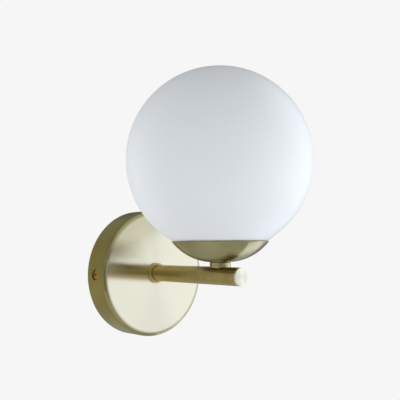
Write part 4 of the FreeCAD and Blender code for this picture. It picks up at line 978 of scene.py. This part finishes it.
class MakeCupFixing(bpy.types.Operator):
    """Model what clamps the cup to the arm: nipple, washers, nut and grommet"""
    bl_idname = "wall_light.cup_fixing"
    bl_label = "Cup fixing"

    def execute(self, context):
        low, high = upward("cup_nipple")
        seat = CUP_FOOT + CUP_WALL
        over = on_axis(up=high) @ Matrix.Rotation(math.pi, 4, "X")
        for name, mesh, place, look, node in (
                ("cup_tube_nipple", nipple(3.0, 4.0, low, high, 0.2, 56), on_axis(), "zinc plate", "cup_nipple"),
                ("cup_seat_washer", sleeve(4.2, 5.65, seat, seat + 1.5, 56, 0.2), on_axis(), "zinc plate",
                 "cup_washer"),
                ("cup_toothed_washer", toothed_washer(4.2, 6.5, 0.8), on_axis(up=14.9), "spring steel",
                 "cup_lock_washer"),
                ("cup_hex_nut", nut(12, 4.02, 3.0), on_axis(up=15.7), "zinc plate", "cup_nut"),
                ("cup_sleeve", grommet(2.95, 4.0), over, "grommet", "cup_grommet")):
            add_piece(name, mesh, place, look, [node])
        return {"FINISHED"}


class MakeSpring(bpy.types.Operator):
    """Model the spring spider with its three formed leaves"""
    bl_idname = "wall_light.spring"
    bl_label = "Globe spring"

    def execute(self, context):
        thick, hub, half, bow, bend = 0.6, 9.0, 4.0, 31.4, 2.5
        folds, end = folds_along([(0, 0), (14.0, 0), (bow - 2.2, 7.4), (bow, 14.8), (bow - 3.6, 22.8)], bend)
        aside = math.degrees(math.asin(half / hub))
        root = hub * math.cos(math.radians(aside))
        leaves, points, corners = (-90, 30, 150), [], []
        for leaf in leaves:
            turn = Matrix.Rotation(math.radians(leaf), 2)
            tip = [turn @ Vector((end, side)) for side in (-half, half)]
            corners += tip
            points += [turn @ Vector((root, -half)), *tip, turn @ Vector((root, half))]
            for angle in (aside + 12, aside + 22, 60, 98 - aside, 108 - aside):
                between = math.radians(leaf + angle)
                points.append(Vector((hub * math.cos(between), hub * math.sin(between))))
        spider = Sheet(*points).hole(0, 0, 2 * CUP_BORE, steps=12).thicken(thick, 0.1, 2.4, corners)
        for start, turn in reversed(folds):
            for leaf in leaves:
                fold(spider, leaf, start, turn, bend, thick, half + 0.5)
        add_piece("spring_spider", spider, on_axis(up=13.5), "spring steel", ["globe_spring"])
        return {"FINISHED"}


class MakeLampholder(bpy.types.Operator):
    """Model the carrier, the ceramic lampholder, its contacts and screws"""
    bl_idname = "wall_light.lampholder"
    bl_label = "Lampholder"

    def execute(self, context):
        thick, half, side_x, bend, base = 0.8, 5.0, 11.45, 1.6, 14.1
        top = upward("lampholder_bracket")[1] - base
        folds, end = folds_along([(0, 0), (side_x, 0), (side_x, top - thick / 2)], bend)
        carrier = Sheet((-end, -half), (end, -half), (end, half), (-end, half)).hole(0, 0, 2 * CUP_BORE, steps=10)
        for side in (-1, 1):
            carrier.hole(side * (end - 4.0), 0, 3.4, steps=6)
        carrier = carrier.thicken(thick, 0.12, 2.0, four(end, half))
        for degrees in (0, 180):
            fold(carrier, degrees, *folds[0], bend, thick)
        add_piece("holder_carrier", carrier, on_axis(up=base), "zinc plate", ["lampholder_bracket"])
        low, high = upward("lampholder")
        wide, deep = 11, 7
        plan = Sheet((-wide, -deep), (wide, -deep), (wide, deep), (-wide, deep))
        for side in (-1, 1):
            plan.hole(side * 4.5, 0, 4.5, 2.8, 0.3, steps=3)
        body = plan.thicken(high - low, 0.45, 3.5, four(wide, deep), 3)
        add_piece("holder_ceramic", body, on_axis(up=low), "ceramic", ["lampholder"])
        dress("lampholder_contacts", "spring steel")
        for side, name in ((-1, "holder_screw_left"), (1, "holder_screw_right")):
            screw = pan_screw(2.7, 1.8, 1.5, 3.2, 0.3, cross=False)
            place = on_axis(side * (side_x + thick / 2), 34.0) @ Matrix.Rotation(side * math.radians(90), 4, "Y")
            place = place @ Matrix.Rotation(0.6 * side, 4, "Z")
            add_piece(name, screw, place, "zinc plate", ["lampholder_screws"] if side < 0 else ())
        return {"FINISHED"}


class MakeGasket(bpy.types.Operator):
    """Model the soft ring under the globe"""
    bl_idname = "wall_light.gasket"
    bl_label = "Gasket"

    def execute(self, context):
        globe_up = upward("globe")[1] - to_the_right("globe")
        seat = to_the_right("globe") + 0.3
        inner, rows = CUP_ARC - CUP_WALL, (33.0, 34.0, 35.0, 36.0)
        under = [(radius, CUP_CENTRE - math.sqrt(inner ** 2 - (radius - CUP_FLAT) ** 2)) for radius in rows]
        over = [(radius, globe_up - math.sqrt(seat ** 2 - radius ** 2)) for radius in reversed(rows)]
        ring = Profile(*under[0]).to(*under[1:], *over).close().turn(128, 0.35, 3)
        add_piece("soft_gasket", ring, on_axis(), "soft ring", ["glass_gasket"])
        return {"FINISHED"}


class MakeLamp(bpy.types.Operator):
    """Model the capsule lamp: base, glass, filament and pins"""
    bl_idname = "wall_light.lamp"
    bl_label = "Capsule lamp"

    def execute(self, context):
        foot, neck = upward("lamp_base")
        base = Profile(0, foot).to((6.5, foot), (7.5, foot + 1.0), (7.5, neck - 1.0), (6.5, neck), (0, neck))
        top = upward("lamp_envelope")[1]
        outer, inner, flare = 8.0, 7.0, 2.5
        glass = Profile(outer - flare, neck).arc(outer - flare, neck + flare, -90, 8).to((outer, top - outer))
        glass.arc(0, top - outer, -90, 20).to((0, top - outer + inner)).arc(0, top - outer, 90, 20)
        glass.to((inner, neck + flare)).arc(outer - flare, neck + flare, 90, 8).close()
        for name, mesh, look, nodes in (
                ("capsule_base", base.turn(72, 0.25, 3), "lamp ceramic", ["lamp_base"]),
                ("capsule_glass", glass.turn(72), "clear glass", ["lamp_envelope"]),
                ("capsule_filament", self.filament(neck), "spring steel", ()),
                ("capsule_pins", self.pins(foot), "spring steel", ["lamp_pins"])):
            add_piece(name, mesh, on_axis(), look, nodes, 35, "lamp")
        return {"FINISHED"}

    def filament(self, neck):
        """A coil that hangs across two upright leads."""
        mesh = bmesh.new()
        coil_up, reach, coil, turns, steps = neck + 17.0, 3.2, 0.7, 14, 12
        for side in (-1, 1):
            made = bmesh.ops.create_circle(mesh, segments=10, radius=0.28, cap_ends=True,
                                           matrix=Matrix.Translation((side * reach, 0, neck + 0.05)))
            grown = bmesh.ops.extrude_face_region(
                mesh, geom=[face for face in mesh.faces if made["verts"][0] in face.verts])
            bmesh.ops.translate(mesh, vec=(0, 0, coil_up - neck), verts=verts_in(grown["geom"]))
        made = bmesh.ops.create_circle(
            mesh, segments=6, radius=0.16,
            matrix=Matrix.Translation((-reach, 0, coil_up + coil)) @ Matrix.Rotation(math.pi / 2, 4, "X"))
        bmesh.ops.spin(mesh, geom=made["verts"] + edges_at(made["verts"]), cent=(-reach, 0, coil_up), axis=(1, 0, 0),
                       angle=math.tau * turns, steps=steps * turns, dvec=(2 * reach / (steps * turns), 0, 0))
        bmesh.ops.holes_fill(mesh, edges=[edge for edge in mesh.edges if edge.is_boundary], sides=6)
        bmesh.ops.recalc_face_normals(mesh, faces=mesh.faces[:])
        return mesh

    def pins(self, foot):
        """Two pins, each a wire that goes down, round and up again."""
        mesh = bmesh.new()
        apart, reach, wire_radius = 4.5, 0.9, 0.6
        bottom = upward("lamp_pins")[0] + reach + wire_radius
        for side in (-1, 1):
            made = bmesh.ops.create_circle(mesh, segments=16, radius=wire_radius,
                                           matrix=Matrix.Translation((side * apart - reach, 0, foot + 0.02)))
            run = made["verts"] + edges_at(made["verts"])
            for drop in (bottom - foot, foot - bottom):
                grown = bmesh.ops.extrude_edge_only(mesh, edges=edges_in(run))["geom"]
                run = verts_in(grown) + edges_in(grown)
                bmesh.ops.translate(mesh, vec=(0, 0, drop - 0.02), verts=verts_in(run))
                if drop < 0:
                    swept = bmesh.ops.spin(mesh, geom=run, cent=(side * apart, 0, bottom), axis=(0, 1, 0),
                                           angle=-math.pi, steps=12)
                    run = swept["geom_last"]
        tidy(mesh)
        bmesh.ops.holes_fill(mesh, edges=[edge for edge in mesh.edges if edge.is_boundary], sides=16)
        bmesh.ops.recalc_face_normals(mesh, faces=mesh.faces[:])
        return mesh


class MakeWires(bpy.types.Operator):
    """Finish the wires behind the plate and in the arm"""
    bl_idname = "wall_light.wires"
    bl_label = "Wires"

    def execute(self, context):
        for wire_name in ("live", "neutral", "earth"):
            dress(f"wire_{wire_name}", f"{wire_name} sleeve")
        return {"FINISHED"}


# Stage

FLOOR_Z = -1.4


def pale_surface(name, shade):
    """Floor: pale to the camera and through glass, with painted shadow and painted light in metal, and it keeps the
    object's shadow.
    """
    made, tree, surface = new_finish(name, Base_Color=(0.65, 0.65, 0.65), Roughness=0.9, Specular_IOR_Level=0.0)
    rays = put(tree, "ShaderNodeLightPath").outputs
    place = put(tree, "ShaderNodeNewGeometry").outputs["Position"]
    # In metal the floor shows a painted shadow under the wall light and painted light towards the camera's side
    forward = vector_maths(tree, "DOT_PRODUCT", place, (-0.69, -0.72, 0), "Value")
    painted_shadow_distance = vector_maths(tree, "DISTANCE", place, (0.05, -0.28, FLOOR_Z), "Value")
    painted_floor_light_in_metal = times(tree, spread(tree, forward, 0.1, 0.9, 0.36, 0.72), spread(tree, painted_shadow_distance, 0.15, 0.5, 0.3, 1.0))
    seen = maths(tree, "MAXIMUM", maths(tree, "MAXIMUM", rays["Is Camera Ray"], rays["Is Transmission Ray"]),
                 times(tree, rays["Is Glossy Ray"], painted_floor_light_in_metal))
    glow = put(tree, "ShaderNodeEmission", {"Color": shade, "Strength": 1.045})
    mixed = put(tree, "ShaderNodeMixShader", {0: times(tree, seen, 0.92), 1: surface.outputs[0], 2: glow.outputs[0]})
    wire(next(node for node in tree.nodes if node.type == "OUTPUT_MATERIAL"), {"Surface": mixed.outputs[0]})
    return made


def direction(azimuth, elevation):
    """From the object towards a place round it; azimuth 0 is in front, 90 to the right."""
    turn, tilt = math.radians(azimuth), math.radians(elevation)
    return Vector((math.sin(turn) * math.cos(tilt), -math.cos(turn) * math.cos(tilt), math.sin(tilt)))


def add_light(name, azimuth, elevation, distance, wide, high, radiance, colour=(1, 1, 1), diffuse=True,
              glossy=False):
    """A soft panel that faces the middle of the light."""
    data = bpy.data.lights.new(name, "AREA")
    data.shape = "RECTANGLE"
    data.size, data.size_y = wide, high
    data.energy = radiance * math.pi * wide * high
    data.color = colour
    lamp = bpy.data.objects.new(name, data)
    back = direction(azimuth, elevation)
    lamp.location = Vector((0, GLOBE_Y * 0.6, 0.02)) + back * distance
    lamp.rotation_euler = (-back).to_track_quat("-Z", "Y").to_euler()
    lamp.visible_camera = False
    lamp.visible_diffuse = diffuse
    lamp.visible_glossy = glossy
    bpy.context.scene.collection.objects.link(lamp)
    return lamp


def window(tree, value, low, low_end, high_end, high):
    """1 between low_end and high_end, and 0 below low and above high, with soft edges."""
    return times(tree, spread(tree, value, low, low_end, interpolation_type="SMOOTHSTEP"),
                 spread(tree, value, high_end, high, 1.0, 0.0, interpolation_type="SMOOTHSTEP"))


def studio(shade):
    """A pale room with a wide soft panel at the front right, in which metal and glass show less bright walls."""
    world = bpy.data.worlds.new("studio")
    world.use_nodes = True
    tree = world.node_tree
    rays = put(tree, "ShaderNodeLightPath").outputs
    towards = put(tree, "ShaderNodeTexCoord").outputs["Generated"]
    way = put(tree, "ShaderNodeSeparateXYZ", {0: towards}).outputs
    turn = times(tree, maths(tree, "ARCTAN2", way["X"], times(tree, way["Y"], -1.0)), 180 / math.pi)
    steepness = maths(tree, "DIVIDE", way["Z"], maths(tree, "MAXIMUM", way["X"], 0.05))
    panel = times(tree, window(tree, turn, 6, 20, 88, 106), window(tree, steepness, -1.35, -1.05, 1.0, 2.0))
    panel_strength = spread(tree, turn, 43, 49, 1.06, 1.45)
    # The walls are brighter low down, and dimmer behind the camera and on the far side
    behind_camera = times(tree, window(tree, turn, -75, -55, -25, 0), spread(tree, way["Z"], 0.08, 0.2, 1.0, 0.0))
    far_side = vector_maths(tree, "DOT_PRODUCT", towards, (0.69, 0.719, 0.082), "Value")
    walls = times(tree, spread(tree, way["Z"], -0.7, 0.6, 0.7, 0.44), spread(tree, behind_camera, 0, 1, 1.0, 0.58))
    walls = times(tree, walls, spread(tree, far_side, 0.75, 0.92, 1.0, 0.3))
    lit = maths(tree, "ADD", times(tree, panel, panel_strength),
                times(tree, maths(tree, "SUBTRACT", 1.0, panel), walls))
    tint = blend_colours(tree, panel, (0.98, 1.0, 1.0), (0.98, 1.03, 1.22))
    gloss, soft, pale = (
        put(tree, "ShaderNodeBackground", {"Color": colour, "Strength": strength}).outputs[0]
        for colour, strength in ((tint, lit), ((0.97, 0.99, 1.0), 0.53), (shade, 1.0)))
    mixed = put(tree, "ShaderNodeMixShader", {0: rays["Is Glossy Ray"], 1: soft, 2: gloss}).outputs[0]
    through = maths(tree, "MAXIMUM", rays["Is Camera Ray"], rays["Is Transmission Ray"])
    mixed = put(tree, "ShaderNodeMixShader", {0: through, 1: mixed, 2: pale}).outputs[0]
    wire(next(node for node in tree.nodes if node.type == "OUTPUT_WORLD"), {"Surface": mixed})
    return world


class MakeStage(bpy.types.Operator):
    """Set up the pale floor, the studio light and the camera"""
    bl_idname = "wall_light.stage"
    bl_label = "Stage"

    def execute(self, context):
        scene = context.scene
        shade = tuple(scene.light_colours.background)
        floor = bmesh.new()
        bmesh.ops.create_grid(floor, x_segments=8, y_segments=8, size=2.7)
        floor.transform(Matrix.Translation((0, 0, FLOOR_Z)))
        data = bpy.data.meshes.new("floor")
        floor.to_mesh(data)
        floor.free()
        ground = bpy.data.objects.new("floor", data)
        scene.collection.objects.link(ground)
        data.materials.append(pale_surface("pale floor", shade))

        scene.world = studio(shade)
        add_light("soft key", 38, -8, 1.2, 1.3, 1.3, 2.1)
        add_light("soft fill", -89, -16, 1.2, 1.4, 1.4, 0.95)
        bounce = add_light("wall bounce", 178, -5, 1.2, 1.4, 1.4, 1.95)
        past = bpy.data.collections.new("what the wall bounce passes")
        bounce.light_linking.blocker_collection = past
        for name in ("wall_plate", "bracket_strap", "block_body"):
            past.objects.link(bpy.data.objects[name])
        for member in past.collection_objects:
            member.light_linking.link_state = "EXCLUDE"
        add_light("low panel", 84, -40, 1.1, 0.62, 0.5, 1.15, (0.95, 1.03, 1.5), diffuse=False, glossy=True)

        lens = bpy.data.cameras.new("camera")
        lens.lens, lens.sensor_width = 50.0, 36.0
        lens.clip_start, lens.clip_end = 0.01, 100.0
        camera = bpy.data.objects.new("camera", lens)
        scene.collection.objects.link(camera)
        back, roll = direction(-43.793, -4.684), math.radians(-0.357)
        right = (-back).cross(Vector((0, 0, 1))).normalized()
        up = right.cross(-back)
        across = right * math.cos(roll) + up * math.sin(roll)
        upward_axis = up * math.cos(roll) - right * math.sin(roll)
        pose = Matrix((across, upward_axis, back)).transposed().to_4x4()
        camera.matrix_world = Matrix.Translation((-0.31957, -0.41507, 0.02426)) @ pose
        scene.camera = camera
        scene.view_settings.view_transform = "Standard"
        return {"FINISHED"}


class LightPanel(bpy.types.Panel):
    bl_label = "Globe wall light"
    bl_idname = "VIEW3D_PT_globe_wall_light"
    bl_space_type = "VIEW_3D"
    bl_region_type = "UI"
    bl_category = "Wall light"

    def draw(self, context):
        for group in (context.scene.light_sizes, context.scene.light_colours):
            box = self.layout.box()
            for name in group.__annotations__:
                box.prop(group, name)
        for operator in STEPS:
            self.layout.operator(operator.bl_idname)


STEPS = (MakePlate, MakeSideScrews, MakeArm, MakeCup, MakeGlobe, MakeBracket, MakeTerminals, MakeEarth,
         MakeRootFixing, MakeCupFixing, MakeSpring, MakeLampholder, MakeGasket, MakeLamp, MakeWires, MakeStage)
CLASSES = (LightSizes, LightColours, *STEPS, LightPanel)


def register():
    for made in CLASSES:
        bpy.utils.register_class(made)
    bpy.types.Scene.light_sizes = bpy.props.PointerProperty(type=LightSizes)
    bpy.types.Scene.light_colours = bpy.props.PointerProperty(type=LightColours)


def unregister():
    del bpy.types.Scene.light_sizes
    del bpy.types.Scene.light_colours
    for made in reversed(CLASSES):
        bpy.utils.unregister_class(made)


def main():
    register()
    for step in STEPS:
        group, name = step.bl_idname.split(".")
        getattr(getattr(bpy.ops, group), name)()
    bpy.context.view_layer.update()


if __name__ == "__main__":
    main()
